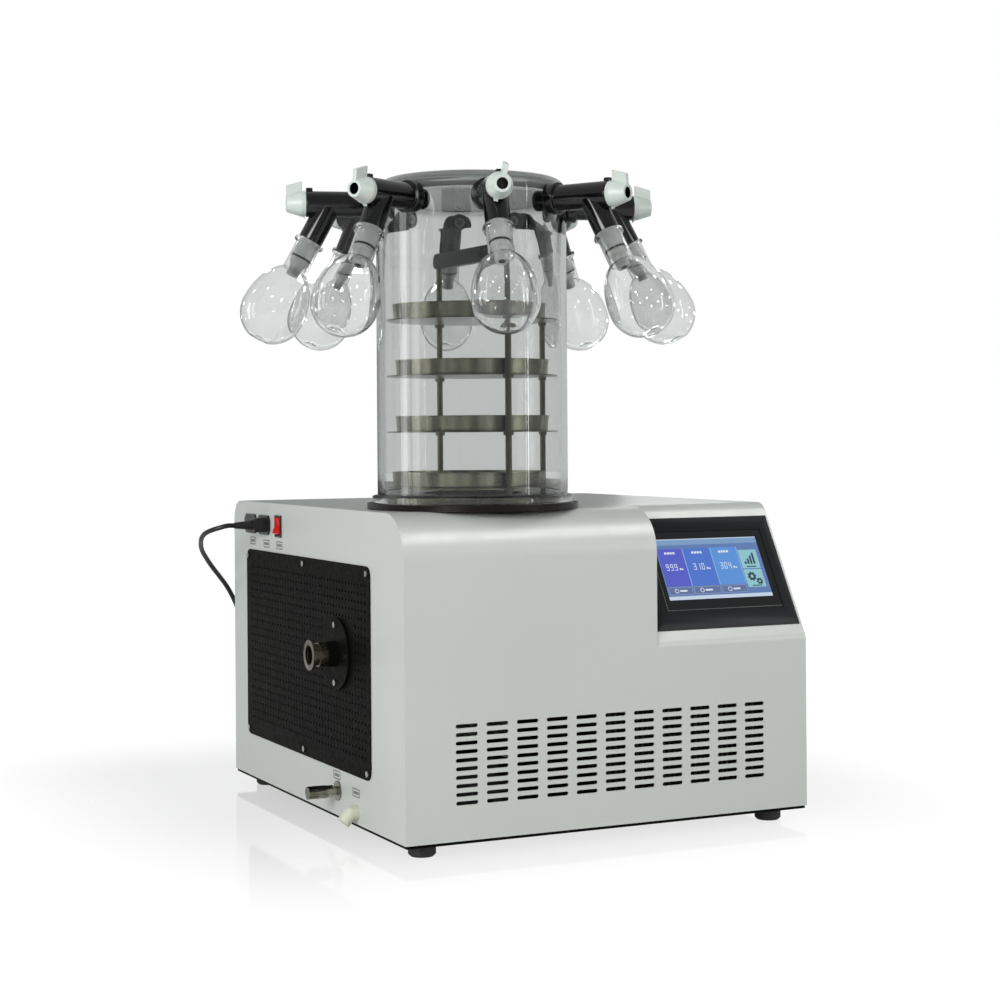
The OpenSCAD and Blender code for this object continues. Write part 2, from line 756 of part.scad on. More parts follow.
module switch_frame() color(BLACK) difference() {
  union() {
    translate([-switch_frame_t, switch_y - switch_w / 2, power_z - switch_h / 2])
      cube([switch_frame_t, switch_w, switch_h]);
    translate([-eps, switch_y - switch_body_w / 2, power_z - switch_body_h / 2])
      cube([switch_depth, switch_body_w, switch_body_h]);
  }
  translate([-switch_frame_t - 1, switch_y - rocker_w / 2 - fit, power_z - rocker_cavity_half])
    cube([rocker_cavity_depth + switch_frame_t + 1, rocker_w + 2 * fit, 2 * rocker_cavity_half]);
  translate([rocker_pivot_x, switch_y - rocker_w / 2 - rocker_pin_len - fit, power_z]) rotate([-90, 0, 0])
    cylinder(r = rocker_pin_r + 0.1, h = rocker_w + 2 * (rocker_pin_len + fit));
}

// The rocker stands with its lower end out, turned about its own pins
module rocker() color(RED) translate([rocker_pivot_x, switch_y, power_z]) rotate([0, rocker_tilt, 0]) {
  face_x = -rocker_pivot_x - rocker_proud;
  rotate([90, 0, 0]) translate([0, 0, -rocker_w / 2]) linear_extrude(rocker_w) intersection() {
    polygon([
      [face_x, -rocker_half], [face_x + rocker_dip, 0], [face_x, rocker_half],
      [rocker_back, rocker_half], [rocker_back, -rocker_half]]);
    circle(rocker_cavity_half - fit);
  }
  translate([0, -rocker_w / 2 - rocker_pin_len, 0]) rotate([-90, 0, 0])
    cylinder(r = rocker_pin_r, h = rocker_w + 2 * rocker_pin_len);
}

// ---- Drying chamber ----

module at_chamber(z) translate([chamber_x, chamber_y, z]) children();

// A port's hole is cut this much past both faces of the head
cut_past = 10;

module barrel() color(CLEAR) difference() {
  at_chamber(seat_z) rotate_extrude() difference() {
    union() {
      square([barrel_r, barrel_h - barrel_edge_r]);
      square([barrel_r - barrel_edge_r, barrel_h]);
      square([flange_r, flange_t]);
      translate([barrel_r - barrel_edge_r, barrel_h - barrel_edge_r]) circle(barrel_edge_r);
    }
    translate([0, -1]) square([barrel_r - barrel_wall, barrel_h - head_h + 1]);
    square([barrel_r - head_wall, barrel_h - barrel_top]);
  }
  for (i = [0 : ports - 1]) at_port(i)
    translate([barrel_r - head_wall - cut_past, 0, 0]) rotate([0, 90, 0])
      cylinder(r = spigot_r + port_clear, h = head_wall + 2 * cut_past);
}

gasket_bore_r = trap_r + trap_wall + 5.5;

module barrel_gasket() color(BLACK) at_chamber(cab_h) rotate_extrude() {
  translate([gasket_bore_r, rim_t]) square([gasket_r - gasket_bore_r, gasket_t]);
  translate([rim_r + fit, 0]) square([gasket_r - rim_r - fit, rim_t + eps]);
}

coil_tube_r = 4.2;
coil_tube_count = 6;
coil_tube_rise = 14;
coil_tube_pitch = 20;
coil_braze = 0.4;

module cold_trap() color(STEEL) difference() {
  at_chamber(trap_floor_z) rotate_extrude() {
    translate([trap_r, 0]) square([trap_wall, trap_depth + rim_t]);
    translate([trap_r, trap_depth]) square([rim_r - trap_r, rim_t]);
    translate([0, -trap_wall]) square([trap_r + trap_wall, trap_wall]);
    for (k = [0 : coil_tube_count - 1])
      translate([trap_r + trap_wall + coil_tube_r - coil_braze, coil_tube_rise + k * coil_tube_pitch])
        circle(coil_tube_r, $fn = 24);
  }
  translate([riser_x, port_y, trap_floor_z - trap_wall - 1])
    cylinder(r = pipe_r + 0.1, h = trap_wall + 2);
  translate([drain_riser_x, drain_y, trap_floor_z - trap_wall - 1])
    cylinder(r = drain_r + 0.1, h = trap_wall + 2);
}

// A flat plate with a skirt that stands on the trap's rim, and a tube that leads the vapour down
module vapour_tube() color(STEEL) at_chamber(rack_z) rotate_extrude() {
  tube_bore_r = vapour_r - vapour_plate_t;
  translate([tube_bore_r, -vapour_len]) square([vapour_plate_t, vapour_len]);
  translate([tube_bore_r, -vapour_plate_t]) square([vapour_plate_r - tube_bore_r, vapour_plate_t]);
  translate([vapour_plate_r - vapour_plate_t, -vapour_rise]) square([vapour_plate_t, vapour_rise]);
}

// Rods stand in front, on the right and at the back, so that the trays slide in from the left
ROD_ANGLES = [-90, 0, 90];
nut_h = 4;
nut_r = 6.5;
short_rod_end = 6;

module rack_frame() color(STEEL) at_chamber(rack_z) {
  shelf_top_rise = shelf_rise + (shelf_count - 1) * shelf_pitch;
  for (a = ROD_ANGLES) rotate([0, 0, a]) translate([rod_ring_r, 0, 0]) {
    cylinder(r = rod_r, h = a == 0 ? shelf_top_rise + short_rod_end : handle_rise - handle_h / 2);
    for (k = [0 : shelf_count - 1])
      translate([0, 0, shelf_rise + k * shelf_pitch - nut_h]) cylinder(r = nut_r, h = nut_h, $fn = 6);
  }
  for (k = [0 : shelf_count - 1])
    translate([0, 0, shelf_rise + k * shelf_pitch]) cylinder(r = shelf_r, h = shelf_t);
}

module rack_handle() color(BLACK) at_chamber(handle_z) {
  r = handle_h / 2;
  translate([-handle_t / 2, r - handle_half, -r]) cube([handle_t, 2 * (handle_half - r), handle_h]);
  for (y = [-1, 1]) translate([-handle_t / 2, y * (handle_half - r), 0]) rotate([0, 90, 0])
    cylinder(r = r, h = handle_t);
}

module tray(k) color(STEEL)
  at_chamber(rack_z + shelf_rise + k * shelf_pitch + shelf_t) translate([TRAY_SHIFT[k], 0, 0])
    rotate_extrude() polygon([
      [0, 0], [tray_floor_r, 0], [tray_rim_r - tray_wall, tray_h - tray_wall],
      [tray_rim_r, tray_h - tray_wall], [tray_rim_r, tray_h], [tray_rim_r - 2 * tray_wall, tray_h],
      [tray_floor_r - tray_wall, tray_wall], [0, tray_wall]]);

// ---- Port valves and flasks ----

nub_w = 6;
nub_h = 4;
nub_len = 9;
taper_len = 25;
taper_fall = 2;

// The rubber valve with its branch, and the taper adapter that hangs a flask on the branch
module valve_body(i) color(BLACK) difference() {
  union() {
    at_port(i) rotate([0, 90, 0]) {
      translate([0, 0, lip_face - lip_t]) cylinder(r = lip_r, h = lip_t);
      translate([0, 0, lip_face - 1]) cylinder(r = spigot_r, h = collar_face - lip_face + 2);
      translate([0, 0, collar_face]) cylinder(r = collar_r, h = collar_t);
      translate([0, 0, collar_face]) cylinder(r = valve_r, h = valve_end - collar_face);
    }
    at_port(i) translate([valve_end - nub_len, -nub_w / 2, 0]) cube([nub_len, nub_w, valve_r + nub_h]);
    at_branch(i) {
      cylinder(r = branch_r, h = branch_len);
      translate([0, 0, branch_len - 1])
        cylinder(r1 = adapter_r, r2 = adapter_r - taper_fall, h = taper_len);
      cylinder(r = adapter_tip_r, h = branch_len + adapter_len);
    }
  }
  at_port(i) rotate([0, 90, 0]) {
    translate([0, 0, lip_face - lip_t - 1]) cylinder(r = throat_r, h = plug_from - lip_face + lip_t + 2);
    translate([0, 0, plug_from - knob_gap]) cylinder(r = valve_bore_r, h = valve_end);
  }
  at_branch(i) cylinder(r = branch_bore_r, h = branch_len + adapter_len + 1);
}

knob_skirt = 6;
knob_hole_r = 7.2;
knob_hole_depth = 14;
lever_from = 4.5;
lever_fall = 6;
pointer_reach = 19.4;
plug_bore_r = 6;
plug_window_r = 5;

// The knob's hollow plug turns in the valve; a flag lever stands up from it and a pointer below
module valve_knob(i) color(WHITE) at_port(i) rotate([KNOB_TURN[i], 0, 0]) {
  face_x = valve_end + knob_len;
  difference() {
    rotate([0, 90, 0]) {
      translate([0, 0, plug_from]) cylinder(r = plug_r, h = valve_end - plug_from + 1);
      translate([0, 0, valve_end + knob_gap]) cylinder(r = knob_r, h = knob_skirt);
      translate([0, 0, valve_end + knob_skirt])
        cylinder(r1 = knob_r, r2 = knob_face_r, h = knob_len - knob_skirt);
    }
    translate([face_x - knob_hole_depth, 0, 0]) rotate([0, 90, 0])
      cylinder(r = knob_hole_r, h = knob_hole_depth + 1);
    translate([plug_from - 1, 0, 0]) rotate([0, 90, 0])
      cylinder(r = plug_bore_r, h = branch_from + 2 * plug_bore_r - plug_from);
    // window towards the branch
    translate([branch_from, 0, 0]) rotate([0, 180 - branch_lean, 0])
      cylinder(r = plug_window_r, h = 2 * plug_r);
  }
  translate([0, lever_t / 2, 0]) rotate([90, 0, 0]) linear_extrude(lever_t) {
    polygon([
      [valve_end + lever_from, knob_r - 4], [valve_end + lever_from, lever_reach],
      [face_x, lever_reach - lever_fall], [face_x, knob_face_r - 3],
      [face_x - knob_len / 4, knob_face_r - 3]]);
    polygon([[valve_end + 1, 4 - knob_r], [valve_end + 1, -pointer_reach], [valve_end + 8, 4 - knob_r]]);
  }
}

neck_rim_t = 5;
// The foot's hollow, and the angle below the bulb's middle where it begins
push_up = 5;
push_up_from = 72;

// Outline of a flask about its own axis, drawn in by inset, from its rim down to its foot
module flask_outline(inset) {
  r = bulb_r - inset;
  tall = shoulder_h - inset;
  neck = neck_r - inset;
  from = acos(neck / r);
  step = 9;
  polygon(concat(
    [[0, -1], [neck, -1]],
    // shoulder: a quarter of an ellipse that starts where it is as wide as the neck
    [for (k = [ceil(from / step) : -1 : 1]) let (a = from * k / ceil(from / step))
      [r * cos(a), bulb_drop - tall * sin(a)]],
    // bulb: half a ball down to its foot
    [for (a = [0 : step : push_up_from]) [r * cos(a), bulb_drop + r * sin(a)]],
    [[0, bulb_drop + r - push_up]]));
}

module flask(i) color(CLEAR) at_branch(i) translate([0, 0, branch_len]) rotate_extrude() difference() {
  union() {
    flask_outline(0);
    square([neck_rim_r, neck_rim_t]);
  }
  flask_outline(flask_wall);
  translate([0, -2]) square([neck_rim_r + 1, 2]);
}

// ---- Inside the casing ----

can_r = 72;
can_h = 165;
can_edge = 35;
// Distance of the can's axis from the casing's right side and rear
can_inset = 165;
can_back = 222;
can_x = cab_w - can_inset;
can_y = cab_d - can_back;
can_rise = 22;
can_foot_inset = 14;
can_foot_r = 12;
can_foot_h = 13;
can_base_t = 10;
can_base_share = 0.7;

// A welded can on a base plate with four rubber grommets
module compressor() color(BLACK) translate([can_x, can_y, pan_floor_z]) {
  base_y = can_r * can_base_share;
  translate([0, 0, can_rise]) rotate_extrude() {
    translate([0, can_edge]) square([can_r, can_h - 2 * can_edge]);
    square([can_r - can_edge, can_h]);
    intersection() {
      for (z = [can_edge, can_h - can_edge]) translate([can_r - can_edge, z]) circle(can_edge);
      square([can_r, can_h]);
    }
  }
  translate([-can_r, -base_y, can_rise - can_base_t]) cube([2 * can_r, 2 * base_y, can_base_t]);
  for (x = [-1, 1]) for (y = [-1, 1])
    translate([x * (can_r - can_foot_inset), y * (base_y - can_foot_inset), 0])
      cylinder(r = can_foot_r, h = can_foot_h);
}

fin_pitch = 8;
fin_gap = 4;
fin_depth = 15;
condenser_w = 270;
condenser_h = 200;
motor_gap = 10;
bracket_w = 44;
bracket_t = 6;
bracket_foot = 40;

module condenser() color(STEEL) {
  x0 = fan_x - condenser_w / 2;
  back_y = condenser_y + condenser_t;
  motor_y = fan_y + fan_depth + motor_gap;
  // finned block, its grooves facing the front slots
  translate([x0, condenser_y, pan_floor_z]) linear_extrude(condenser_h) difference() {
    square([condenser_w, condenser_t]);
    for (x = [fin_pitch : fin_pitch : condenser_w - fin_pitch])
      translate([x - fin_gap / 2, -1]) square([fin_gap, fin_depth + 1]);
  }
  // shroud with the fan's ring
  along_y(back_y - eps, back_y + shroud_t) difference() {
    translate([x0, pan_floor_z]) square([condenser_w, condenser_h]);
    translate([fan_x, fan_z]) circle(fan_r - 4);
  }
  along_y(back_y, back_y + shroud_depth) translate([fan_x, fan_z]) difference() {
    circle(fan_r + 3 + shroud_t);
    circle(fan_r + 3);
  }
  // motor on its bracket, with the shaft that carries the blades
  along_y(motor_y, motor_y + motor_len) translate([fan_x, fan_z]) circle(motor_r);
  along_y(fan_y + shaft_gap, motor_y + eps) translate([fan_x, fan_z]) circle(shaft_r);
  along_y(motor_y + motor_gap, motor_y + motor_gap + bracket_t)
    translate([fan_x - bracket_w / 2, pan_floor_z]) square([bracket_w, fan_z - motor_r / 2 - pan_floor_z]);
  translate([fan_x - bracket_w / 2, motor_y, pan_floor_z]) cube([bracket_w, bracket_foot, 2]);
}

blade_count = 5;
blade_pitch = 28;
blade_chord = 42;
blade_t = 2;
hub_r = 20;

module fan_blades() color([0.35, 0.36, 0.38]) translate([fan_x, fan_y, fan_z]) rotate([-90, 0, 0])
  difference() {
    union() {
      cylinder(r = hub_r, h = fan_depth);
      intersection() {
        cylinder(r = fan_r, h = fan_depth);
        for (a = [0 : 360 / blade_count : 359])
          rotate([0, 0, a]) translate([0.7 * hub_r, 0, fan_depth / 2]) rotate([blade_pitch, 0, 0])
            translate([0, -blade_chord / 2, -blade_t / 2]) cube([fan_r, blade_chord, blade_t]);
      }
    }
    translate([0, 0, shaft_gap - 1]) cylinder(r = shaft_r + 0.1, h = fan_depth);
  }

// ---- Mains lead ----

function unit(v) = v / norm(v);

function route_dirs(p) =
  [for (i = [0 : len(p) - 1]) unit(p[min(i + 1, len(p) - 1)] - p[max(i - 1, 0)])];

// Carries a sideways vector along the route without twist
function sides(dirs, i, u) = i == len(dirs) ? [] :
  let (v = unit(u - dirs[i] * (u * dirs[i]))) concat([v], sides(dirs, i + 1, v));

// A tube of radius r with n sides through the points p
module swept_tube(p, r, n) {
  d = route_dirs(p);
  u = sides(d, 0, [0, 0, 1]);
  rings = [for (i = [0 : len(p) - 1]) for (k = [0 : n - 1])
    p[i] + r * (u[i] * cos(360 * k / n) + cross(d[i], u[i]) * sin(360 * k / n))];
  last = len(p) - 1;
  polyhedron(rings, concat(
    [[for (k = [0 : n - 1]) k]],
    [for (i = [0 : last - 1]) for (k = [0 : n - 1])
      [i * n + k, (i + 1) * n + k, (i + 1) * n + (k + 1) % n, i * n + (k + 1) % n]],
    [[for (k = [n - 1 : -1 : 0]) last * n + k]]));
}

module mains_cord() color(BLACK) swept_tube(CORD_ROUTE, cord_r, 10);

module cord_coil() color(BLACK) translate([coil_x, coil_y, -bench_drop]) rotate_extrude()
  translate([coil_r - coil_band / 2, 0]) square([coil_band, coil_band]);

plug_w = 27;
plug_h = 20;
sleeve_wall = 3.5;
sleeve_tip_wall = 0.8;

module inlet_plug() color(BLACK) {
  translate([-plug_reach, inlet_y - plug_w / 2, power_z - plug_h / 2])
    cube([plug_reach - socket_face_t, plug_w, plug_h]);
  difference() {
    translate([-socket_face_t - eps, inlet_y - recess_w / 2 + fit, power_z - recess_h / 2 + fit])
      cube([recess_depth - 1, recess_w - 2 * fit, recess_h - 2 * fit]);
    pin_set(-eps, recess_depth + 1, inlet_y, fit);
  }
  translate([-sleeve_reach, inlet_y, power_z]) rotate([0, 90, 0])
    cylinder(r1 = cord_r + sleeve_tip_wall, r2 = cord_r + sleeve_wall, h = sleeve_reach - plug_reach + eps);
}

// The plug stands off the coil by this much, with its sleeve reaching the coil's outer turn
wall_plug_off = 52;
wall_sleeve_len = 30;
wall_plug_l = 42;
wall_plug_w = 34;
wall_plug_h = 22;
wall_plug_edge = 7;
blade_w = 6;
blade_len = 17;
blade_spread = 16;
blade_h = 1.6;
earth_len = 20;

module wall_plug() color(BLACK)
  translate([coil_x - wall_plug_off, coil_y + coil_outer_run, -bench_drop]) {
    translate([-wall_plug_l, -wall_plug_w / 2, 0]) linear_extrude(wall_plug_h)
      round_rect(wall_plug_l, wall_plug_w, wall_plug_edge);
    translate([-eps, 0, cord_r + sleeve_wall]) rotate([0, 90, 0])
      cylinder(r1 = cord_r + sleeve_wall, r2 = cord_r + sleeve_tip_wall, h = wall_sleeve_len);
    for (y = [-blade_spread / 2, blade_spread / 2])
      translate([-wall_plug_l - blade_len, y - blade_w / 2, wall_plug_h / 3])
        cube([blade_len + eps, blade_w, blade_h]);
    translate([-wall_plug_l - earth_len, -blade_h / 2, wall_plug_h / 2])
      cube([earth_len + eps, blade_h, blade_w]);
  }

// ---- Nodes ----

row_frame() base_pan();
row_frame() left_side_panel();
row_frame() right_side_panel();
row_frame() front_top_cover();
row_frame() rear_panel();
row_frame() perforated_panel();
row_frame() panel_screws();
row_frame() feet();
row_frame() touch_bezel();
row_frame() touch_screen();
row_frame() vacuum_port_plate();
row_frame() vacuum_pipe();
row_frame() power_inlet();
row_frame() power_outlet();
row_frame() switch_frame();
row_frame() rocker();
row_frame() vent_valve();
row_frame() vent_knob();
row_frame() drain_hose();
row_frame() barrel();
row_frame() barrel_gasket();
row_frame() cold_trap();
row_frame() vapour_tube();
row_frame() rack_frame();
row_frame() rack_handle();
row_frame() compressor();
row_frame() condenser();
row_frame() fan_blades();
row_frame() mains_cord();
row_frame() cord_coil();
row_frame() inlet_plug();
row_frame() wall_plug();
for (k = [0 : shelf_count - 1]) row_frame() tray(k);
for (i = [0 : ports - 1]) {
  row_frame() valve_body(i);
  row_frame() valve_knob(i);
  row_frame() flask(i);
}
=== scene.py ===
"""Looks of the benchtop freeze dryer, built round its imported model.

Lengths are in millimetres on the casing's own axes: X along the front, Y to the back, Z up, from the
casing's front left bottom corner. case() turns such a point into the frame's metres."""
import json
import math

import bmesh
import bpy
from mathutils import Matrix, Vector

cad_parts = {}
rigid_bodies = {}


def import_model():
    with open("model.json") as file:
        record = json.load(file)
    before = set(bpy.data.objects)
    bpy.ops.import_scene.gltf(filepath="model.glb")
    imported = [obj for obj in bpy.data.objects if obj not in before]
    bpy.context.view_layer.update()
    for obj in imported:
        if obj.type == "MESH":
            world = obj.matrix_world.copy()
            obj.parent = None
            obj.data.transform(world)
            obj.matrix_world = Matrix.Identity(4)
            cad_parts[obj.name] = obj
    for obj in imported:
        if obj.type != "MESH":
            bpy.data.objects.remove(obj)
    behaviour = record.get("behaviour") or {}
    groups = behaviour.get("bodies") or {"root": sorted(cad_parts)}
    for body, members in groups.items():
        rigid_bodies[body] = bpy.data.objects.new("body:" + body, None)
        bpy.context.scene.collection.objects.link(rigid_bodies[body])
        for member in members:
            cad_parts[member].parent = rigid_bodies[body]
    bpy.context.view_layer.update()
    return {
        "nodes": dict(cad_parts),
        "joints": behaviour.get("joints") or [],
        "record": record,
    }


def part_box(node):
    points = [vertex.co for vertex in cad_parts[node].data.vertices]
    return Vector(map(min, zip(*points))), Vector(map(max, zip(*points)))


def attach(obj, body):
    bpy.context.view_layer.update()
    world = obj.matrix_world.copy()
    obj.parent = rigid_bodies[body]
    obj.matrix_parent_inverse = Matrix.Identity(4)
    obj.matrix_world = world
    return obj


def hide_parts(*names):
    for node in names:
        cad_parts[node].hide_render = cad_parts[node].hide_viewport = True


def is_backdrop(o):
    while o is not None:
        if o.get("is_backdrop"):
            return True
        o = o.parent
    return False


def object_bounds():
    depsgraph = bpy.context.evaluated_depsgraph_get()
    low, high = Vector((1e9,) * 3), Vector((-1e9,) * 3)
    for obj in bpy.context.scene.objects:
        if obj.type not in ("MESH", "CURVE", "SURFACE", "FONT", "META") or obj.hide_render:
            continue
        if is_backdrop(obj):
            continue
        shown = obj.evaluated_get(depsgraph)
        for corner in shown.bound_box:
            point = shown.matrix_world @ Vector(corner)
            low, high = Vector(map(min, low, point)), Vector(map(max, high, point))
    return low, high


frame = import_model()

MM = 0.001
PANEL_LOW, PANEL_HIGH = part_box("left_side_panel")
BARREL_LOW, BARREL_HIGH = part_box("barrel")
KNOB_JOINTS = [j for j in frame["joints"] if j["name"].startswith("knob_turn")]


def case(x, y, z):
    return Vector((PANEL_LOW.x + x * MM, PANEL_LOW.y + y * MM, PANEL_LOW.z + z * MM))


# ---- Camera, lights and floor ----

# The lens is in millimetres on Blender's own sensor
CAMERA_PLACE = case(-947.1, -2230.1, 501.4)
CAMERA_YAW = math.radians(25.80)
CAMERA_ROLL = math.radians(-0.386)
CAMERA_LENS = 71.72
CAMERA_SHIFT = -0.0663


def make_camera():
    camera = bpy.data.objects.new("camera", bpy.data.cameras.new("camera"))
    bpy.context.scene.collection.objects.link(camera)
    camera.data.lens = CAMERA_LENS
    camera.data.shift_y = CAMERA_SHIFT
    camera.data.clip_end = 50
    camera.matrix_world = (
        Matrix.Translation(CAMERA_PLACE)
        @ Matrix.Rotation(-CAMERA_YAW, 4, "Z")
        @ Matrix.Rotation(math.pi / 2, 4, "X")
        @ Matrix.Rotation(CAMERA_ROLL, 4, "Z")
    )
    bpy.context.scene.camera = camera


def softbox(name, place, target, width, height, power, only=(), never=()):
    """An area light; only and never name the material slots that it is kept to, or kept off."""
    data = bpy.data.lights.new(name, "AREA")
    data.shape = "RECTANGLE"
    data.size, data.size_y, data.energy = width, height, power
    lamp = bpy.data.objects.new(name, data)
    bpy.context.scene.collection.objects.link(lamp)
    if only or never:
        LAMP_RULES.append((lamp, only or never, "INCLUDE" if only else "EXCLUDE"))
    direction = Vector(target) - Vector(place)
    lamp.matrix_world = Matrix.Translation(place) @ direction.to_track_quat("-Z", "Y").to_matrix().to_4x4()


LAMP_RULES = []
CLEAR = ("barrel_acrylic", "flask_glass")
CASING_AIM = (0, 0, 0.35)
BARREL_AIM = (0, 0, 0.62)
# Each lamp's name, place and target, its width and height in metres, its watts, and which slots it lights
LAMPS = [
    ("key_light", (-2.75, -1.95, 1.25), CASING_AIM, 1.8, 1.2, 70, {"never": CLEAR}),
    ("fill_light", (1.8, -2.6, 1.1), CASING_AIM, 1.2, 1.0, 17, {"never": CLEAR}),
    ("back_light", (1.2, 2.4, 1.3), CASING_AIM, 1.3, 1.0, 6, {"never": CLEAR}),
    ("bend_light", (0.9, -1.4, 2.2), CASING_AIM, 2.2, 0.9, 55, {"only": ("cabinet_paint",)}),
    ("strip_light", (1.57, -1.81, 0.9), BARREL_AIM, 0.06, 1.6, 2.6, {"only": CLEAR}),
    ("band_light_1", (-2.26, 0.82, 0.8), BARREL_AIM, 0.45, 1.5, 6, {"only": CLEAR}),
    ("band_light_2", (-2.40, 0.08, 0.8), BARREL_AIM, 0.40, 1.5, 3, {"only": CLEAR}),
]
SPARKS = 30
SPARK_REACH = 2.6
SPARK_TURN = math.radians(137.5)
SPARK_SIZE, SPARK_SIZE_STEP = 0.07, 0.02
SPARK_POWER = 5


def spark_place(index):
    """A small lamp's place on a spiral that covers the half sphere above the floor, all round the object."""
    height = 0.05 + 0.9 * (index + 0.5) / SPARKS
    turn = SPARK_TURN * index
    flat = SPARK_REACH * math.sqrt(1 - height**2)
    return flat * math.cos(turn), flat * math.sin(turn), SPARK_REACH * height


def make_lights():
    for name, place, target, width, height, power, rule in LAMPS:
        softbox(name, place, target, width, height, power, **rule)
    bpy.data.objects["bend_light"].visible_diffuse = False
    for index in range(SPARKS):
        name = f"spark_light_{index + 1}"
        size = SPARK_SIZE + SPARK_SIZE_STEP * (index % 4)
        softbox(name, spark_place(index), BARREL_AIM, size, size, SPARK_POWER, only=("flask_glass",))


def share_lights():
    """Keeps each ruled lamp to the pieces of its material slots, or off them."""
    for lamp, slots, state in LAMP_RULES:
        group = bpy.data.collections.new(lamp.name + "_pieces")
        for piece in bpy.context.scene.objects:
            if piece.type == "MESH" and any(m.name.startswith(slots) for m in piece.data.materials):
                group.objects.link(piece)
        for entry in group.collection_objects:
            entry.light_linking.link_state = state
        lamp.light_linking.receiver_collection = group


def bare_tree(owner):
    """The node tree of a new material or world, emptied."""
    owner.use_nodes = True
    owner.node_tree.nodes.clear()
    return owner.node_tree


FLAG_LIGHT = 0.12
FLAG_WIDTH = 1.2
FLAG_GAP = 0.15


def make_flag():
    """A grey card behind the casing, seen only in reflections, which shades the casing's flat top."""
    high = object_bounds()[1]
    material = bpy.data.materials.new("flag")
    tree = bare_tree(material)
    grey = tree.nodes.new("ShaderNodeEmission")
    grey.inputs["Strength"].default_value = FLAG_LIGHT
    output = tree.nodes.new("ShaderNodeOutputMaterial")
    link(tree, grey.outputs[0], output.inputs["Surface"])
    bpy.ops.mesh.primitive_plane_add(
        size=1, location=(0, high.y + FLAG_GAP, (PANEL_HIGH.z + high.z) / 2), rotation=(math.pi / 2, 0, 0)
    )
    flag = bpy.context.object
    flag.name = "flag"
    flag.scale = (FLAG_WIDTH, high.z - PANEL_HIGH.z, 1)
    flag.data.materials.append(material)
    flag.visible_camera = flag.visible_transmission = flag.visible_diffuse = flag.visible_shadow = False
    flag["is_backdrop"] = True


def link(tree, source, target):
    tree.links.new(source, target)


def result_of(tree, operation, first, second):
    """What a Math node makes of two numbers, each a value or a socket."""
    node = tree.nodes.new("ShaderNodeMath")
    node.operation = operation
    for socket, value in zip(node.inputs, (first, second)):
        if isinstance(value, (int, float)):
            socket.default_value = value
        else:
            link(tree, value, socket)
    return node.outputs[0]


def background_share(tree, mirrored):
    """1 where the background is seen directly or through glass, and the given share where it is mirrored."""
    paths = tree.nodes.new("ShaderNodeLightPath")
    scattered = result_of(tree, "GREATER_THAN", paths.outputs["Diffuse Depth"], 0.5)
    reflected = result_of(tree, "GREATER_THAN", paths.outputs["Glossy Depth"], 0.5)
    bounced = result_of(tree, "MAXIMUM", scattered, reflected)
    seen = result_of(tree, "SUBTRACT", 1, bounced)
    in_mirror = result_of(tree, "MULTIPLY", reflected, result_of(tree, "SUBTRACT", 1, scattered))
    return result_of(tree, "ADD", seen, result_of(tree, "MULTIPLY", in_mirror, mirrored))


def ramp(tree, value, start, end, low=0.0, high=1.0, way="SMOOTHSTEP"):
    """A value's way from start to end, as a number from low to high."""
    node = tree.nodes.new("ShaderNodeMapRange")
    node.interpolation_type = way
    link(tree, value, node.inputs["Value"])
    for name, number_at in (("From Min", start), ("From Max", end), ("To Min", low), ("To Max", high)):
        node.inputs[name].default_value = number_at
    return node.outputs["Result"]


def parts_of(tree, vector):
    """The X, Y and Z of a vector socket."""
    parts = tree.nodes.new("ShaderNodeSeparateXYZ")
    link(tree, vector, parts.inputs["Vector"])
    return parts.outputs


def world_axis(tree, axis):
    return parts_of(tree, tree.nodes.new("ShaderNodeNewGeometry").outputs["Position"])[axis]


ROOM_COLOUR = (0.95, 0.98, 1.0, 1)
ROOM_LIGHT = 0.34
MIRRORED_FRONT, MIRRORED_BACK = 0.09, 0.5
MIRRORED_CHANGE = 0.3


def white_behind(tree):
    """How white the room is in a reflection: darker round the camera, whiter behind the object."""
    direction = tree.nodes.new("ShaderNodeTexCoord").outputs["Generated"]
    backwards = parts_of(tree, direction)["Y"]
    return ramp(tree, backwards, -MIRRORED_CHANGE, MIRRORED_CHANGE, MIRRORED_FRONT, MIRRORED_BACK, "LINEAR")


def make_world():
    world = bpy.data.worlds.new("studio")
    bpy.context.scene.world = world
    tree = bare_tree(world)
    room = tree.nodes.new("ShaderNodeBackground")
    room.inputs["Color"].default_value = ROOM_COLOUR
    room.inputs["Strength"].default_value = ROOM_LIGHT
    white = tree.nodes.new("ShaderNodeBackground")
    white.inputs["Color"].default_value = (1, 1, 1, 1)
    mix = tree.nodes.new("ShaderNodeMixShader")
    output = tree.nodes.new("ShaderNodeOutputWorld")
    link(tree, background_share(tree, white_behind(tree)), mix.inputs["Fac"])
    link(tree, room.outputs[0], mix.inputs[1])
    link(tree, white.outputs[0], mix.inputs[2])
    link(tree, mix.outputs[0], output.inputs["Surface"])


FLOOR_SIZE = 40
FLOOR_SHADE, FLOOR_SHADE_SEEN = 0.6, 0.1
FLOOR_GLOW_MIRRORED = 0.4
FLOOR_ROUGHNESS = 0.06
FLOOR_MIRROR = 0.42
# Distances beyond the casing's front, back and sides over which the floor's mirroring changes, in metres
FLOOR_FRONT = (-0.45, 0.45)
FLOOR_BACK = (0.1, 0.6)
FLOOR_SIDE = (0.05, 0.5)


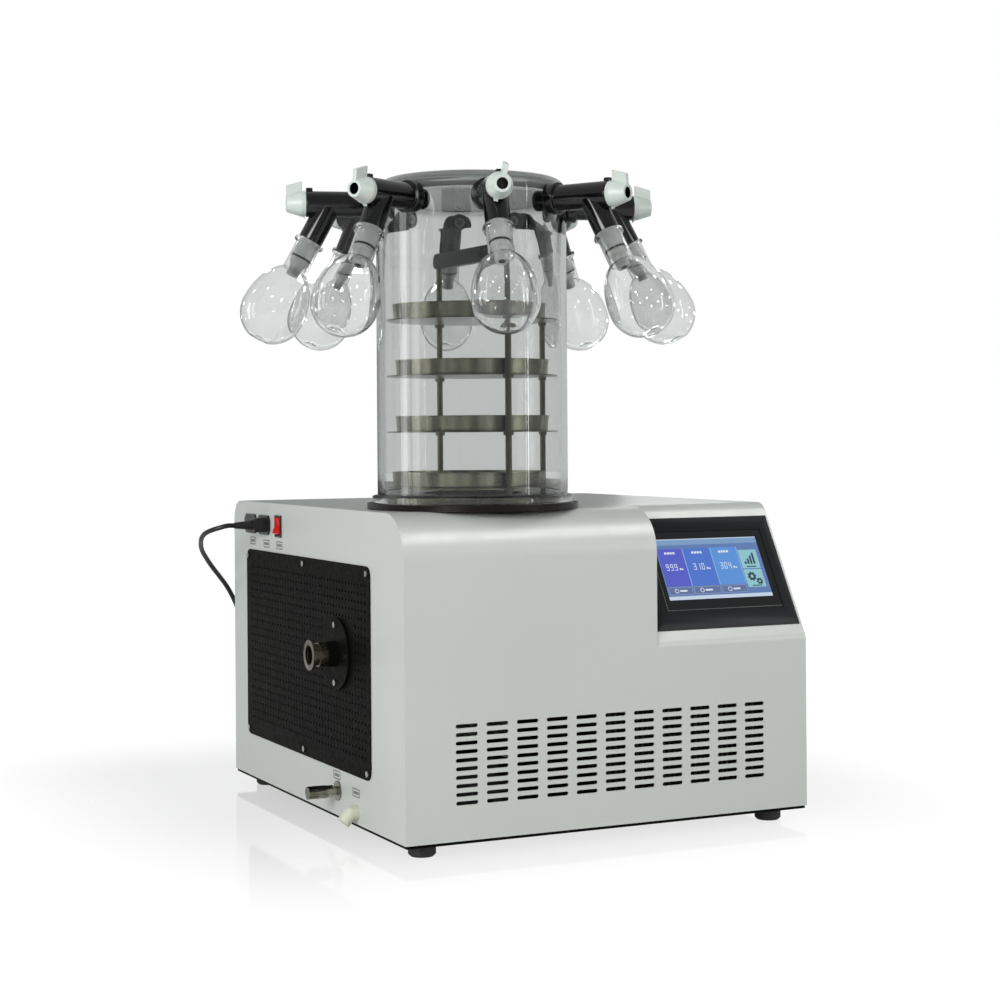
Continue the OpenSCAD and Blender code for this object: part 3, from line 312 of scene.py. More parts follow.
def floor_mirror(tree):
    """The floor's mirror share: it grows from the front to its full value, and fades behind and beside."""
    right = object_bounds()[1].x
    middle, half = (PANEL_LOW.x + right) / 2, (right - PANEL_LOW.x) / 2
    depth = world_axis(tree, "Y")
    aside = result_of(tree, "ABSOLUTE", result_of(tree, "SUBTRACT", world_axis(tree, "X"), middle), 0)
    front = ramp(tree, depth, PANEL_LOW.y + FLOOR_FRONT[0], PANEL_LOW.y + FLOOR_FRONT[1], 0, FLOOR_MIRROR)
    back = ramp(tree, depth, PANEL_HIGH.y + FLOOR_BACK[0], PANEL_HIGH.y + FLOOR_BACK[1], 1, 0)
    side = ramp(tree, aside, half + FLOOR_SIDE[0], half + FLOOR_SIDE[1], 1, 0)
    return result_of(tree, "MULTIPLY", result_of(tree, "MULTIPLY", front, back), side)


def make_floor():
    """A white floor: its own light makes it white to the camera, and round the casing it mirrors a little."""
    material = bpy.data.materials.new("floor")
    tree = bare_tree(material)
    seen = tree.nodes.new("ShaderNodeLightPath").outputs["Is Camera Ray"]
    matte = tree.nodes.new("ShaderNodeBsdfDiffuse")
    darker = result_of(tree, "MULTIPLY", seen, FLOOR_SHADE - FLOOR_SHADE_SEEN)
    link(tree, result_of(tree, "SUBTRACT", FLOOR_SHADE, darker), matte.inputs["Color"])
    light = tree.nodes.new("ShaderNodeEmission")
    link(tree, background_share(tree, FLOOR_GLOW_MIRRORED), light.inputs["Strength"])
    both = tree.nodes.new("ShaderNodeAddShader")
    link(tree, matte.outputs[0], both.inputs[0])
    link(tree, light.outputs[0], both.inputs[1])
    mirror = tree.nodes.new("ShaderNodeBsdfGlossy")
    mirror.inputs["Roughness"].default_value = FLOOR_ROUGHNESS
    mix = tree.nodes.new("ShaderNodeMixShader")
    output = tree.nodes.new("ShaderNodeOutputMaterial")
    link(tree, floor_mirror(tree), mix.inputs["Fac"])
    link(tree, both.outputs[0], mix.inputs[1])
    link(tree, mirror.outputs[0], mix.inputs[2])
    link(tree, mix.outputs[0], output.inputs["Surface"])
    bpy.ops.mesh.primitive_plane_add(size=FLOOR_SIZE, location=(0, 0, 0))
    floor = bpy.context.object
    floor.name = "floor"
    floor.data.materials.append(material)
    floor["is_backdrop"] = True


# ---- Materials ----


def srgb(red, green, blue):
    """A colour written as 0 to 255, as the shader wants it."""
    shares = [c / 255 for c in (red, green, blue)]
    return tuple(c / 12.92 if c <= 0.04045 else ((c + 0.055) / 1.055) ** 2.4 for c in shares)


def finish_of(name, colour, roughness, metallic=0.0, **sockets):
    """A Principled material, and its tree and shader for further nodes."""
    material = bpy.data.materials.new(name)
    material.use_nodes = True
    tree = material.node_tree
    shader = tree.nodes["Principled BSDF"]
    shader.inputs["Base Color"].default_value = (*colour, 1)
    shader.inputs["Roughness"].default_value = roughness
    shader.inputs["Metallic"].default_value = metallic
    for key, value in sockets.items():
        shader.inputs[key.replace("_", " ")].default_value = value
    return material, tree, shader


def noise(tree, scale, stretch=(1, 1, 1), detail=2.0, rough=0.5):
    """Noise in the object's own metres: scale is in features per metre, stretched along each axis."""
    place = tree.nodes.new("ShaderNodeTexCoord")
    mapping = tree.nodes.new("ShaderNodeMapping")
    mapping.inputs["Scale"].default_value = stretch
    texture = tree.nodes.new("ShaderNodeTexNoise")
    texture.inputs["Scale"].default_value = scale
    texture.inputs["Detail"].default_value = detail
    texture.inputs["Roughness"].default_value = rough
    link(tree, place.outputs["Object"], mapping.inputs["Vector"])
    link(tree, mapping.outputs["Vector"], texture.inputs["Vector"])
    return texture.outputs["Fac"]


def bump(tree, shader, height, strength, distance):
    node = tree.nodes.new("ShaderNodeBump")
    node.inputs["Strength"].default_value = strength
    node.inputs["Distance"].default_value = distance
    link(tree, height, node.inputs["Height"])
    link(tree, node.outputs["Normal"], shader.inputs["Normal"])


def blend(tree, fac, low, high):
    """A colour between two, each a socket or a tuple."""
    mix = tree.nodes.new("ShaderNodeMix")
    mix.data_type = "RGBA"
    link(tree, fac, mix.inputs["Factor"])
    for name, colour in (("A", low), ("B", high)):
        if isinstance(colour, tuple):
            mix.inputs[name].default_value = (*colour, 1)
        else:
            link(tree, colour, mix.inputs[name])
    return mix.outputs["Result"]


def shades(tree, shader, fac, low, high, socket="Base Color", start=0.3, end=0.7):
    """Lets a texture move a colour or a number between two values."""
    if socket == "Base Color":
        result = blend(tree, ramp(tree, fac, start, end, way="LINEAR"), low, high)
    else:
        result = ramp(tree, fac, start, end, low, high, "LINEAR")
    link(tree, result, shader.inputs[socket])


def paint():
    material, tree, shader = finish_of("cabinet_paint", srgb(203, 208, 202), 0.36)
    shades(tree, shader, noise(tree, 2.2), srgb(200, 205, 199), srgb(207, 211, 206))
    shades(tree, shader, noise(tree, 60), 0.30, 0.40, "Roughness")
    bump(tree, shader, noise(tree, 480, detail=1.5), 0.16, 0.0006)
    return material


def black_coat():
    material, tree, shader = finish_of("black_coat", srgb(11, 12, 10), 0.5, Specular_IOR_Level=0.03)
    shades(tree, shader, noise(tree, 5), srgb(8, 9, 7), srgb(15, 15, 12))
    shades(tree, shader, noise(tree, 200), 0.42, 0.58, "Roughness")
    bump(tree, shader, noise(tree, 900, detail=2), 0.25, 0.0004)
    return material


def steel(name, low, high, roughness, stretch):
    material, tree, shader = finish_of(name, low, roughness, 1.0, Anisotropic=0.3)
    shades(tree, shader, noise(tree, 30, stretch, 4, 0.6), low, high, start=0.35, end=0.65)
    shades(tree, shader, noise(tree, 300, stretch, 3), roughness * 0.85, roughness * 1.2, "Roughness")
    bump(tree, shader, noise(tree, 900, stretch, 2), 0.06, 0.0003)
    return material


# Bands round the wall: partly the steel's own streaks, partly painted reflection of the room's light
STREAK_AND_SHEEN_SCALE, STREAK_AND_SHEEN_DETAIL = 2.6, 2
# The colour of downward faces: a painted sheen, lighter than the steel
UNDERSIDE_PAINTED_SHEEN = (0.85, 0.85, 0.83)


def spun_steel(name, low, high, roughness):
    """Steel turned about the barrel's axis, with bands up its wall, partly its own streaks and partly painted
    reflection, and painted sheen on its undersides.
    """
    material, tree, shader = finish_of(name, low, roughness, 1.0, Anisotropic=0.4)
    from_axis = tree.nodes.new("ShaderNodeVectorMath")
    from_axis.operation = "SUBTRACT"
    from_axis.inputs[1].default_value = (BARREL_LOW + BARREL_HIGH) / 2
    link(tree, tree.nodes.new("ShaderNodeTexCoord").outputs["Object"], from_axis.inputs[0])
    place = parts_of(tree, from_axis.outputs["Vector"])
    streak_and_sheen = tree.nodes.new("ShaderNodeTexNoise")
    streak_and_sheen.noise_dimensions = "1D"
    streak_and_sheen.inputs["Scale"].default_value = STREAK_AND_SHEEN_SCALE
    streak_and_sheen.inputs["Detail"].default_value = STREAK_AND_SHEEN_DETAIL
    streak_and_sheen.inputs["Roughness"].default_value = 0.5
    link(tree, result_of(tree, "ARCTAN2", place["Y"], place["X"]), streak_and_sheen.inputs["W"])
    # Light and dark bands in the wall's colour: partly streaks, partly painted reflection
    wall = blend(tree, ramp(tree, streak_and_sheen.outputs["Fac"], 0.36, 0.62, way="LINEAR"), low, high)
    # Faces that look down take the lighter colour: painted sheen
    facing = parts_of(tree, tree.nodes.new("ShaderNodeNewGeometry").outputs["Normal"])
    painted_sheen_below = ramp(tree, facing["Z"], -0.8, -0.95)
    link(tree, blend(tree, painted_sheen_below, wall, UNDERSIDE_PAINTED_SHEEN), shader.inputs["Base Color"])
    return material


def rubber(name, colour, roughness, grain=700, depth=0.0002, **sockets):
    material, tree, shader = finish_of(name, colour, roughness, **sockets)
    shades(tree, shader, noise(tree, 40), roughness * 0.8, roughness * 1.25, "Roughness")
    bump(tree, shader, noise(tree, grain), 0.15, depth)
    return material


def plastic(name, colour, roughness, grain=1200, depth=0.00015, **sockets):
    material, tree, shader = finish_of(name, colour, roughness, **sockets)
    low = tuple(c * 0.93 for c in colour)
    shades(tree, shader, noise(tree, 25), low, colour)
    bump(tree, shader, noise(tree, grain), 0.2, depth)
    return material


GLASS_IOR = 1.47
GLASS_RIPPLE = 0.05


def clear(name, colour, roughness, ior, ripple=0.0, transmission=1.0):
    material, tree, shader = finish_of(name, colour, roughness, IOR=ior, Transmission_Weight=transmission)
    if ripple:
        bump(tree, shader, noise(tree, 30, detail=1), ripple, 0.0015)
    return material


# Heights below the barrel's top between which its head turns hazy, in metres, and how clear it stays
HAZE_FROM, HAZE_FULL = 0.030, 0.010
HAZE_CLEARNESS = 0.72


def acrylic():
    """Clear acrylic, greyer where one looks along its wall, and hazy near its top."""
    colour = (0.755, 0.768, 0.762)
    material, tree, shader = finish_of("barrel_acrylic", colour, 0.0, IOR=1.49, Transmission_Weight=1.0)
    depth = tree.nodes.new("ShaderNodeVolumeAbsorption")
    depth.inputs["Color"].default_value = (0.47, 0.52, 0.505, 1)
    depth.inputs["Density"].default_value = 10
    link(tree, depth.outputs[0], tree.nodes["Material Output"].inputs["Volume"])
    top = BARREL_HIGH.z
    haze = ramp(tree, world_axis(tree, "Z"), top - HAZE_FROM, top - HAZE_FULL, 1, HAZE_CLEARNESS)
    link(tree, haze, shader.inputs["Transmission Weight"])
    return material


def glow(name, colour, strength):
    """A lit part of the display, behind its glossy glass."""
    lamp = {"Emission_Color": (*colour, 1), "Emission_Strength": strength}
    return finish_of(name, (0.01, 0.01, 0.012), 0.12, **lamp)[0]


make_camera()
make_lights()
make_world()
make_floor()
make_flag()

MATERIAL = {
    "cabinet_paint": paint(),
    "black_coat": black_coat(),
    "screw_steel": steel("screw_steel", srgb(140, 140, 136), srgb(190, 190, 186), 0.2, (1, 1, 1)),
    "foot_rubber": rubber("foot_rubber", srgb(26, 26, 27), 0.6),
    "bezel_plastic": plastic("bezel_plastic", srgb(17, 19, 21), 0.4, Specular_IOR_Level=0.28),
    "screen_glass": plastic("screen_glass", srgb(9, 10, 11), 0.16, 40, 0.0001),
    "stainless": steel("stainless", srgb(84, 80, 66), srgb(134, 129, 112), 0.24, (6, 1, 1)),
    "rack_steel": spun_steel("rack_steel", srgb(64, 62, 48), srgb(148, 145, 126), 0.28),
    "tray_steel": spun_steel("tray_steel", srgb(44, 42, 30), srgb(178, 176, 154), 0.24),
    "handle_plastic": plastic("handle_plastic", srgb(16, 17, 18), 0.3, Specular_IOR_Level=0.3),
    "socket_plastic": plastic("socket_plastic", srgb(18, 19, 20), 0.32),
    "rocker_red": plastic(
        "rocker_red", srgb(196, 10, 14), 0.1, Emission_Color=(1, 0.01, 0.01, 1), Emission_Strength=0.12
    ),
    "nickel": steel("nickel", srgb(112, 110, 96), srgb(172, 169, 154), 0.2, (1, 1, 1)),
    "drain_silicone": plastic("drain_silicone", srgb(222, 219, 197), 0.4, Subsurface_Weight=0.2),
    "barrel_acrylic": acrylic(),
    "gasket_rubber": rubber("gasket_rubber", srgb(14, 4, 5), 0.2, Specular_IOR_Level=0.25),
    "compressor_paint": plastic("compressor_paint", srgb(20, 20, 21), 0.3),
    "condenser_metal": steel("condenser_metal", srgb(44, 45, 46), srgb(58, 59, 60), 0.5, (1, 1, 8)),
    "fan_plastic": plastic("fan_plastic", srgb(20, 20, 21), 0.5),
    "cord_rubber": rubber("cord_rubber", srgb(20, 20, 21), 0.42),
    "valve_rubber": rubber("valve_rubber", srgb(4, 4, 5), 0.12, 300, 0.0001),
    "knob_plastic": plastic("knob_plastic", srgb(217, 224, 217), 0.33, Subsurface_Weight=0.15),
    "flask_glass": clear("flask_glass", (0.85, 0.862, 0.857), 0.0, GLASS_IOR, GLASS_RIPPLE),
}
# The flasks before and behind the barrel get a lighter copy of the same flask glass: painted light
LIGHTER_GLASS_COPY = clear("flask_glass_lighter_copy", (0.95, 0.96, 0.955), 0.0, GLASS_IOR, GLASS_RIPPLE)
LIGHTER_COPY_FLASKS = (1, 5)
ADAPTER = clear("adapter_plastic", (0.93, 0.95, 0.94), 0.3, 1.3, transmission=0.55)
# A darker steel for the cold trap: painted shade where it shows below the gasket and through the vapour
# opening
TRAP_STEEL_PAINTED_SHADE = steel("trap_steel", srgb(30, 30, 29), srgb(46, 46, 44), 0.4, (1, 1, 1))

for part in frame["record"]["subparts"]:
    node = frame["nodes"][part["node"]]
    node.data.materials.clear()
    node.data.materials.append(MATERIAL[part["material_slot"]])
# The cold trap takes the darker steel: painted shade
frame["nodes"]["cold_trap"].data.materials[0] = TRAP_STEEL_PAINTED_SHADE


# ---- Mesh tools ----


def show(name, mesh, material, smooth=35):
    """Links a mesh as a piece of the root body, shaded smooth up to an angle."""
    piece = bpy.data.objects.new(name, mesh)
    bpy.context.scene.collection.objects.link(piece)
    mesh.materials.append(material)
    mesh.shade_smooth()
    mesh.set_sharp_from_angle(angle=math.radians(smooth))
    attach(piece, "root")
    return piece


def mesh_of(builder, name):
    """A mesh from bmesh, its faces turned outwards."""
    bmesh.ops.remove_doubles(builder, verts=builder.verts, dist=1e-6)
    bmesh.ops.recalc_face_normals(builder, faces=builder.faces)
    mesh = bpy.data.meshes.new(name)
    builder.to_mesh(mesh)
    builder.free()
    return mesh


def rounded(points, radii, steps=4):
    """A closed outline with its corners rounded; a radius of 0 keeps a corner."""
    out = []
    count = len(points)
    for i, radius in enumerate(radii):
        before, here, after = Vector(points[i - 1]), Vector(points[i]), Vector(points[(i + 1) % count])
        if radius <= 0:
            out.append(tuple(here))
            continue
        back, ahead = (before - here).normalized(), (after - here).normalized()
        half = back.angle(ahead) / 2
        reach = min(radius / math.tan(half), 0.49 * min((before - here).length, (after - here).length))
        start, end = here + back * reach, here + ahead * reach
        for k in range(steps + 1):
            t = k / steps
            out.append(tuple((1 - t) ** 2 * start + 2 * t * (1 - t) * here + t**2 * end))
    return out


def arc_points(centre, radius, start, end, steps):
    """Points of an arc, its angles in degrees."""
    turns = [math.radians(start + (end - start) * k / steps) for k in range(steps + 1)]
    return [(centre[0] + radius * math.cos(a), centre[1] + radius * math.sin(a)) for a in turns]


def lathe(name, profile, place, material, segments):
    """Turns a closed profile of (radius, height), in mm, about Z, and puts it at place."""
    builder = bmesh.new()
    ring = [builder.verts.new((r * MM, 0, z * MM)) for r, z in profile]
    edges = [
        builder.edges.new((ring[i - 1], ring[i]))
        for i in range(len(ring))
        if max(profile[i - 1][0], profile[i][0]) > 1e-6
    ]
    bmesh.ops.spin(
        builder, geom=ring + edges, cent=(0, 0, 0), axis=(0, 0, 1), dvec=(0, 0, 0),
        angle=2 * math.pi, steps=segments, use_merge=True, use_duplicate=False,
    )
    mesh = mesh_of(builder, name)
    mesh.transform(place)
    return show(name, mesh, material)


def plate(name, outline, holes, low, high, place, material, bevel=0.0):
    """A flat plate with holes, in mm, drawn in place's X and Y and extruded from low to high along its Z."""
    curve = bpy.data.curves.new(name, "CURVE")
    curve.dimensions = "2D"
    curve.fill_mode = "BOTH"
    curve.extrude = (high - low) / 2 * MM - bevel * MM
    curve.bevel_depth = bevel * MM
    curve.bevel_resolution = 1
    curve.offset = -bevel * MM
    for loop in [outline, *holes]:
        spline = curve.splines.new("POLY")
        spline.points.add(len(loop) - 1)
        for point, (x, y) in zip(spline.points, loop):
            point.co = (x * MM, y * MM, 0, 1)
        spline.use_cyclic_u = True
    source = bpy.data.objects.new(name + "_curve", curve)
    bpy.context.scene.collection.objects.link(source)
    mesh = bpy.data.meshes.new_from_object(source.evaluated_get(bpy.context.evaluated_depsgraph_get()))
    bpy.data.objects.remove(source)
    mesh.name = name
    mesh.materials.clear()
    mesh.transform(place @ Matrix.Translation((0, 0, (low + high) / 2 * MM)))
    return show(name, mesh, material, 25)


def box_outline(x0, y0, x1, y1, radius=0.0, steps=4):
    corners = [(x0, y0), (x1, y0), (x1, y1), (x0, y1)]
    return rounded(corners, [radius] * 4, steps) if radius else corners


def circle_outline(x, y, radius, steps):
    return arc_points((x, y), radius, 0, 360 * (steps - 1) / steps, steps - 1)


BEND_ANGLE = 30
BEVEL_ANGLE = 40
NODE_BEVELS = {"rack_handle": 3}


def smooth_node(name, bevel):
    """Shades a CAD node smoothly over its bends, with no change to its vertices."""
    node = frame["nodes"][name]
    mesh = node.data
    if "custom_normal" in mesh.attributes:
        mesh.attributes.remove(mesh.attributes["custom_normal"])
    mesh.shade_smooth()
    weld = node.modifiers.new("weld", "WELD")
    weld.merge_threshold = 2e-6
    if bevel:
        edge = node.modifiers.new("edge", "BEVEL")
        edge.width = bevel * MM
        edge.segments = 2
        edge.limit_method = "ANGLE"
        edge.angle_limit = math.radians(BEVEL_ANGLE)
        edge.harden_normals = False
    split = node.modifiers.new("split", "EDGE_SPLIT")
    split.split_angle = math.radians(BEND_ANGLE)


for name in frame["nodes"]:
    smooth_node(name, NODE_BEVELS.get(name, 0))


# ---- Side panel ----

SIDE = Matrix.Translation(case(0, 0, 0)) @ Matrix(((0, 0, 1, 0), (1, 0, 0, 0), (0, 1, 0, 0), (0, 0, 0, 1)))
GRILLE = (108, 62, 590, 334)
GRILLE_RADIUS = 15
GRILLE_T = 1.5
HOLE_RADIUS = 2.0
HOLE_PITCH = 11.0
HOLE_FIELD = (125, 89, 563, 309)
PORT = (220, 214)
PORT_BLANK = (58, 41)
PLATE_SCREW_RING = 38
SCREW_HOLE_RADIUS = 2.2
SCREW_INSET = 9
PIPE_HOLE_RADIUS = 14.3


def grille_holes():
    holes = []
    columns = round((HOLE_FIELD[2] - HOLE_FIELD[0]) / HOLE_PITCH)
    rows = round((HOLE_FIELD[3] - HOLE_FIELD[1]) / HOLE_PITCH)
    for column in range(columns + 1):
        for row in range(rows + 1):
            y, z = HOLE_FIELD[0] + column * HOLE_PITCH, HOLE_FIELD[1] + row * HOLE_PITCH
            if abs(y - PORT[0]) > PORT_BLANK[0] or abs(z - PORT[1]) > PORT_BLANK[1]:
                holes.append(circle_outline(y, z, HOLE_RADIUS, 12))
    y0, z0, y1, z1 = GRILLE
    for y in (y0 + SCREW_INSET, (y0 + y1) / 2, y1 - SCREW_INSET):
        for z in (z0 + SCREW_INSET, z1 - SCREW_INSET):
            holes.append(circle_outline(y, z, SCREW_HOLE_RADIUS, 16))
    for turn in range(4):
        a = turn * math.pi / 2
        centre = PORT[0] + PLATE_SCREW_RING * math.cos(a), PORT[1] + PLATE_SCREW_RING * math.sin(a)
        holes.append(circle_outline(*centre, SCREW_HOLE_RADIUS, 16))
    holes.append(circle_outline(*PORT, PIPE_HOLE_RADIUS, 48))
    return holes


grille = plate(
    "perforated_sheet", box_outline(*GRILLE, GRILLE_RADIUS, 8), grille_holes(), -GRILLE_T, 0, SIDE,
    MATERIAL["black_coat"],
)
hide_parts("perforated_panel")

LABEL_INK = plastic("label_ink", srgb(58, 63, 62), 0.5)
LABELS = [(566, 347), (506, 345), (450, 345), (230, 53), (162, 40)]
LABEL_HALF = (12.5, 5.5)
LABEL_LINE = 1.1
LABEL_DEPTH = 0.12
MARK_HALF = (1.5, 2.1)
MARK_PITCH = 4.6


def label_marks(y, z):
    """Plain blocks in a label's frame, where the real one has small print."""
    half_w, half_h = MARK_HALF
    centres = [y + k * MARK_PITCH for k in (-1.5, -0.5, 0.5, 1.5)]
    return [box_outline(c - half_w, z - half_h, c + half_w, z + half_h, 0.6) for c in centres]


for index, (y, z) in enumerate(LABELS):
    half_w, half_h = LABEL_HALF
    inner_w, inner_h = half_w - LABEL_LINE, half_h - LABEL_LINE
    outline = box_outline(y - half_w, z - half_h, y + half_w, z + half_h, 2.5)
    hole = box_outline(y - inner_w, z - inner_h, y + inner_w, z + inner_h, 1.6)
    plate(f"label_frame_{index + 1}", outline, [hole], -LABEL_DEPTH, 0, SIDE, LABEL_INK)
    for mark, outline in enumerate(label_marks(y, z)):
        plate(f"label_mark_{index + 1}_{mark + 1}", outline, [], -LABEL_DEPTH, 0, SIDE, LABEL_INK)


# ---- Touch panel ----

SLOPE_FOOT = 227
SLOPE_RISE = math.radians(60)
SLOPE = Matrix.Translation(case(0, 0, SLOPE_FOOT)) @ Matrix.Rotation(SLOPE_RISE, 4, "X")
GLASS_FACE = 5.0
# The display's parts, in mm along the front and up the slope; boxes are left, low, right and high
LCD = (389.5, 59.5, 550, 149)
TILE_EDGES = (391.3, 430.5, 473.8, 515)
TILE_LOW, TILE_HIGH = 79, 134.5
TILE_GAP = 1.2
TILE_COLOURS = ((88, 96, 205), (78, 120, 212), (92, 152, 226))
BUTTON_LOW, BUTTON_HIGH = 67, 78
BUTTON_FACE = (98, 116, 162)
ICON_TILES = ((516, 101.5, 544.5, 129.5), (516, 73.7, 544.5, 100))
ICON_TILE_COLOUR = (148, 205, 214)
GEARS = ((526.5, 89.5, 7, 2.4), (536.5, 82, 5.2, 1.7))
READINGS = (("999", 398), ("310", 440), ("304", 482))
READING_LOW = 102.5
DIGIT_W, DIGIT_H, DIGIT_BAR, DIGIT_PITCH = 4.4, 9.6, 1.1, 6.4
DIGIT_GAP = 0.12
DIGIT_BARS = {"0": "abcdef", "1": "bc", "3": "abgcd", "4": "fgbc", "9": "abcdfg"}


def lit(name, outlines, height, colour, strength=0.85):
    """Flat lit shapes on the display, drawn in mm along the front and up the slope."""
    points, faces = [], []
    for outline in outlines:
        faces.append(range(len(points), len(points) + len(outline)))
        points += [(x * MM, y * MM, (GLASS_FACE + height) * MM) for x, y in outline]
    mesh = bpy.data.meshes.new(name)
    mesh.from_pydata(points, [], faces)
    mesh.transform(SLOPE)
    return show(name, mesh, glow(name, colour, strength))


def digit_bars(digit, x, y):
    """The lit bars of a seven-segment digit, as outlines."""
    right, top, middle = x + DIGIT_W, y + DIGIT_H, y + DIGIT_H / 2
    t = DIGIT_BAR
    bars = {
        "a": (x, top - t, right, top), "g": (x, middle - t / 2, right, middle + t / 2),
        "d": (x, y, right, y + t), "f": (x, middle, x + t, top), "b": (right - t, middle, right, top),
        "e": (x, y, x + t, middle), "c": (right - t, y, right, middle),
    }
    lit_bars = [bars[name] for name in DIGIT_BARS[digit]]
    return [box_outline(a + DIGIT_GAP, b + DIGIT_GAP, c - DIGIT_GAP, d - DIGIT_GAP) for a, b, c, d in lit_bars]


def number(text, x, y):
    shapes = []
    for place, digit in enumerate(text):
        shapes += digit_bars(digit, x + place * DIGIT_PITCH, y)
    return shapes


def gear(x, y, radius, teeth=8):
    points = []
    for k in range(teeth * 4):
        a = 2 * math.pi * (k + 0.5) / (teeth * 4)
        r = radius if k % 4 < 2 else radius * 0.78
        points.append((x + r * math.cos(a), y + r * math.sin(a)))
    return points


def reading_marks():
    """Each tile's number, two blocks for its unit and four for its heading."""
    marks = []
    for text, x in READINGS:
        marks += number(text, x, READING_LOW)
        marks += [box_outline(x + 20, 103, x + 22.4, 106), box_outline(x + 23.2, 103, x + 25.4, 105)]
        marks += [box_outline(x + 3 + 4.2 * k, 126.6, x + 6.2 + 4.2 * k, 129.8, 0.4) for k in range(4)]
    return marks


def button_marks(buttons):
    """Each button's ring and the block that stands for its word."""
    marks = []
    for left, low, _, high in buttons:
        middle = (low + high) / 2
        marks.append(circle_outline(left + 12, middle, 3.2, 20))
        marks.append(box_outline(left + 17, middle - 1.2, left + 28, middle + 1.2, 0.6))
    return marks


def icon_marks():
    """Rising bars and two gears, each over a line."""
    marks = [box_outline(521.5 + 4.6 * k, 108, 524.6 + 4.6 * k, 112 + 4.2 * k, 0.5) for k in range(4)]
    marks += [gear(x, y, radius) for x, y, radius, _ in GEARS]
    return marks + [box_outline(523, 103.4, 538, 105, 0.6), box_outline(523, 75.2, 538, 76.6, 0.6)]


def make_display():
    x0, s0, x1, s1 = LCD
    lit("display_back", [box_outline(*LCD)], 0.02, srgb(98, 128, 184))
    lit("display_bar", [box_outline(x0, s1 - 9, x1, s1 - 1.2)], 0.04, srgb(128, 163, 205))
    edges = [box_outline(x0, s1 - 1.2, x1, s1), box_outline(x0, s0, x1, s0 + 5.2)]
    lit("display_edge", edges, 0.04, srgb(206, 222, 242))
    tiles = list(zip(TILE_EDGES, TILE_EDGES[1:]))
    for k, (left, right) in enumerate(tiles):
        outline = box_outline(left, TILE_LOW, right - TILE_GAP, TILE_HIGH)
        lit(f"display_tile_{k + 1}", [outline], 0.04, srgb(*TILE_COLOURS[k]))
    lines = [box_outline(right - TILE_GAP, TILE_LOW, right, TILE_HIGH) for _, right in tiles]
    lit("display_lines", lines, 0.05, srgb(150, 185, 232))
    buttons = [(left + 0.6, BUTTON_LOW, right - 1.8, BUTTON_HIGH) for left, right in tiles]
    lit("display_buttons", [box_outline(*b, 1.2) for b in buttons], 0.04, srgb(150, 168, 205))
    faces = [box_outline(a + 0.6, b + 0.6, c - 0.6, d - 0.6, 0.8) for a, b, c, d in buttons]
    lit("display_button_faces", faces, 0.05, srgb(*BUTTON_FACE))
    lit("display_icon_tiles", [box_outline(*tile) for tile in ICON_TILES], 0.04, srgb(*ICON_TILE_COLOUR))
    lit("display_marks", reading_marks() + button_marks(buttons), 0.07, srgb(226, 236, 250), 0.9)
    dots = [circle_outline(left + 12, (low + high) / 2, 2.3, 20) for left, low, _, high in buttons]
    lit("display_dots", dots, 0.08, srgb(*BUTTON_FACE))
    lit("display_icons", icon_marks(), 0.06, srgb(38, 62, 78))
    eyes = [circle_outline(x, y, eye, 16) for x, y, _, eye in GEARS]
    lit("display_gear_eyes", eyes, 0.08, srgb(*ICON_TILE_COLOUR))
    plate(
        "display_silver_line", box_outline(382, 44.6, 562, 162.5, 1),
        [box_outline(382.6, 45.2, 561.4, 161.9, 0.6)], GLASS_FACE - 0.9, GLASS_FACE + 0.05, SLOPE,
        MATERIAL["screw_steel"],
    )


make_display()


# ---- Barrel ----

# The barrel and its flange; HEAD_SLOPE is the height over which the thick head's inner step slopes
BARREL_R = 125
BARREL_WALL = 8
BARREL_H = 423
BARREL_TOP = 20
BARREL_EDGE = 18
HEAD_H = 45
HEAD_WALL = 15
HEAD_SLOPE = 30
FLANGE_R = 132
FLANGE_T = 10
FOOT_H = 40


def make_barrel():
    """The barrel turned in one piece, with smooth clear walls; the valves' spigots stand through them."""
    bore, head_bore = BARREL_R - BARREL_WALL, BARREL_R - HEAD_WALL
    corner = (BARREL_R - BARREL_EDGE, BARREL_H - BARREL_EDGE)
    top = arc_points(corner, BARREL_EDGE, 0, 90, 12)
    foot = rounded(
        [(bore, 0), (FLANGE_R, 0), (FLANGE_R, FLANGE_T), (BARREL_R, FLANGE_T), (BARREL_R, FOOT_H)],
        [1, 1.5, 3, 2, 0],
    )
    ceiling = BARREL_H - BARREL_TOP
    inside = rounded(
        [(0, ceiling), (head_bore, ceiling), (bore, BARREL_H - HEAD_H - HEAD_SLOPE), (bore, FOOT_H)],
        [0, 6, 9, 0],
    )
    centre = (BARREL_LOW + BARREL_HIGH) / 2
    place = Matrix.Translation((centre.x, centre.y, BARREL_LOW.z))
    profile = foot + top + [(0, BARREL_H)] + inside
    barrel = lathe("barrel_clear", profile, place, MATERIAL["barrel_acrylic"], 192)
    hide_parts("barrel")


make_barrel()


# ---- Ports, valves and flasks ----

# A port's branch leaves it at BRANCH_FROM, and the flask's outline hangs from the branch's end
BRANCH_FROM = 186
BRANCH_LEAN = math.radians(28)
BRANCH_LEN = 55
FLASK_WALL = 1.8
BULB_DROP = 104
BULB_R = 41.8
SHOULDER = 66
NECK_R = 16
NECK_H = 20
RIM_R = 19.8
RIM_T = 5
PUSH_UP = 5


def port_place(joint):
    """The port's own axes: X outwards, Z up, from the chamber's axis at the port's height."""
    out = Vector(joint["axis"])
    middle = (BARREL_LOW + BARREL_HIGH) / 2
    axis_point = Vector((middle.x, middle.y, joint["pos_m"][2]))
    return Matrix.Translation(axis_point) @ Matrix.Rotation(math.atan2(out.y, out.x), 4, "Z")


def outwards(joint):
    """As port_place, with Z outwards."""
    return port_place(joint) @ Matrix.Rotation(math.pi / 2, 4, "Y")


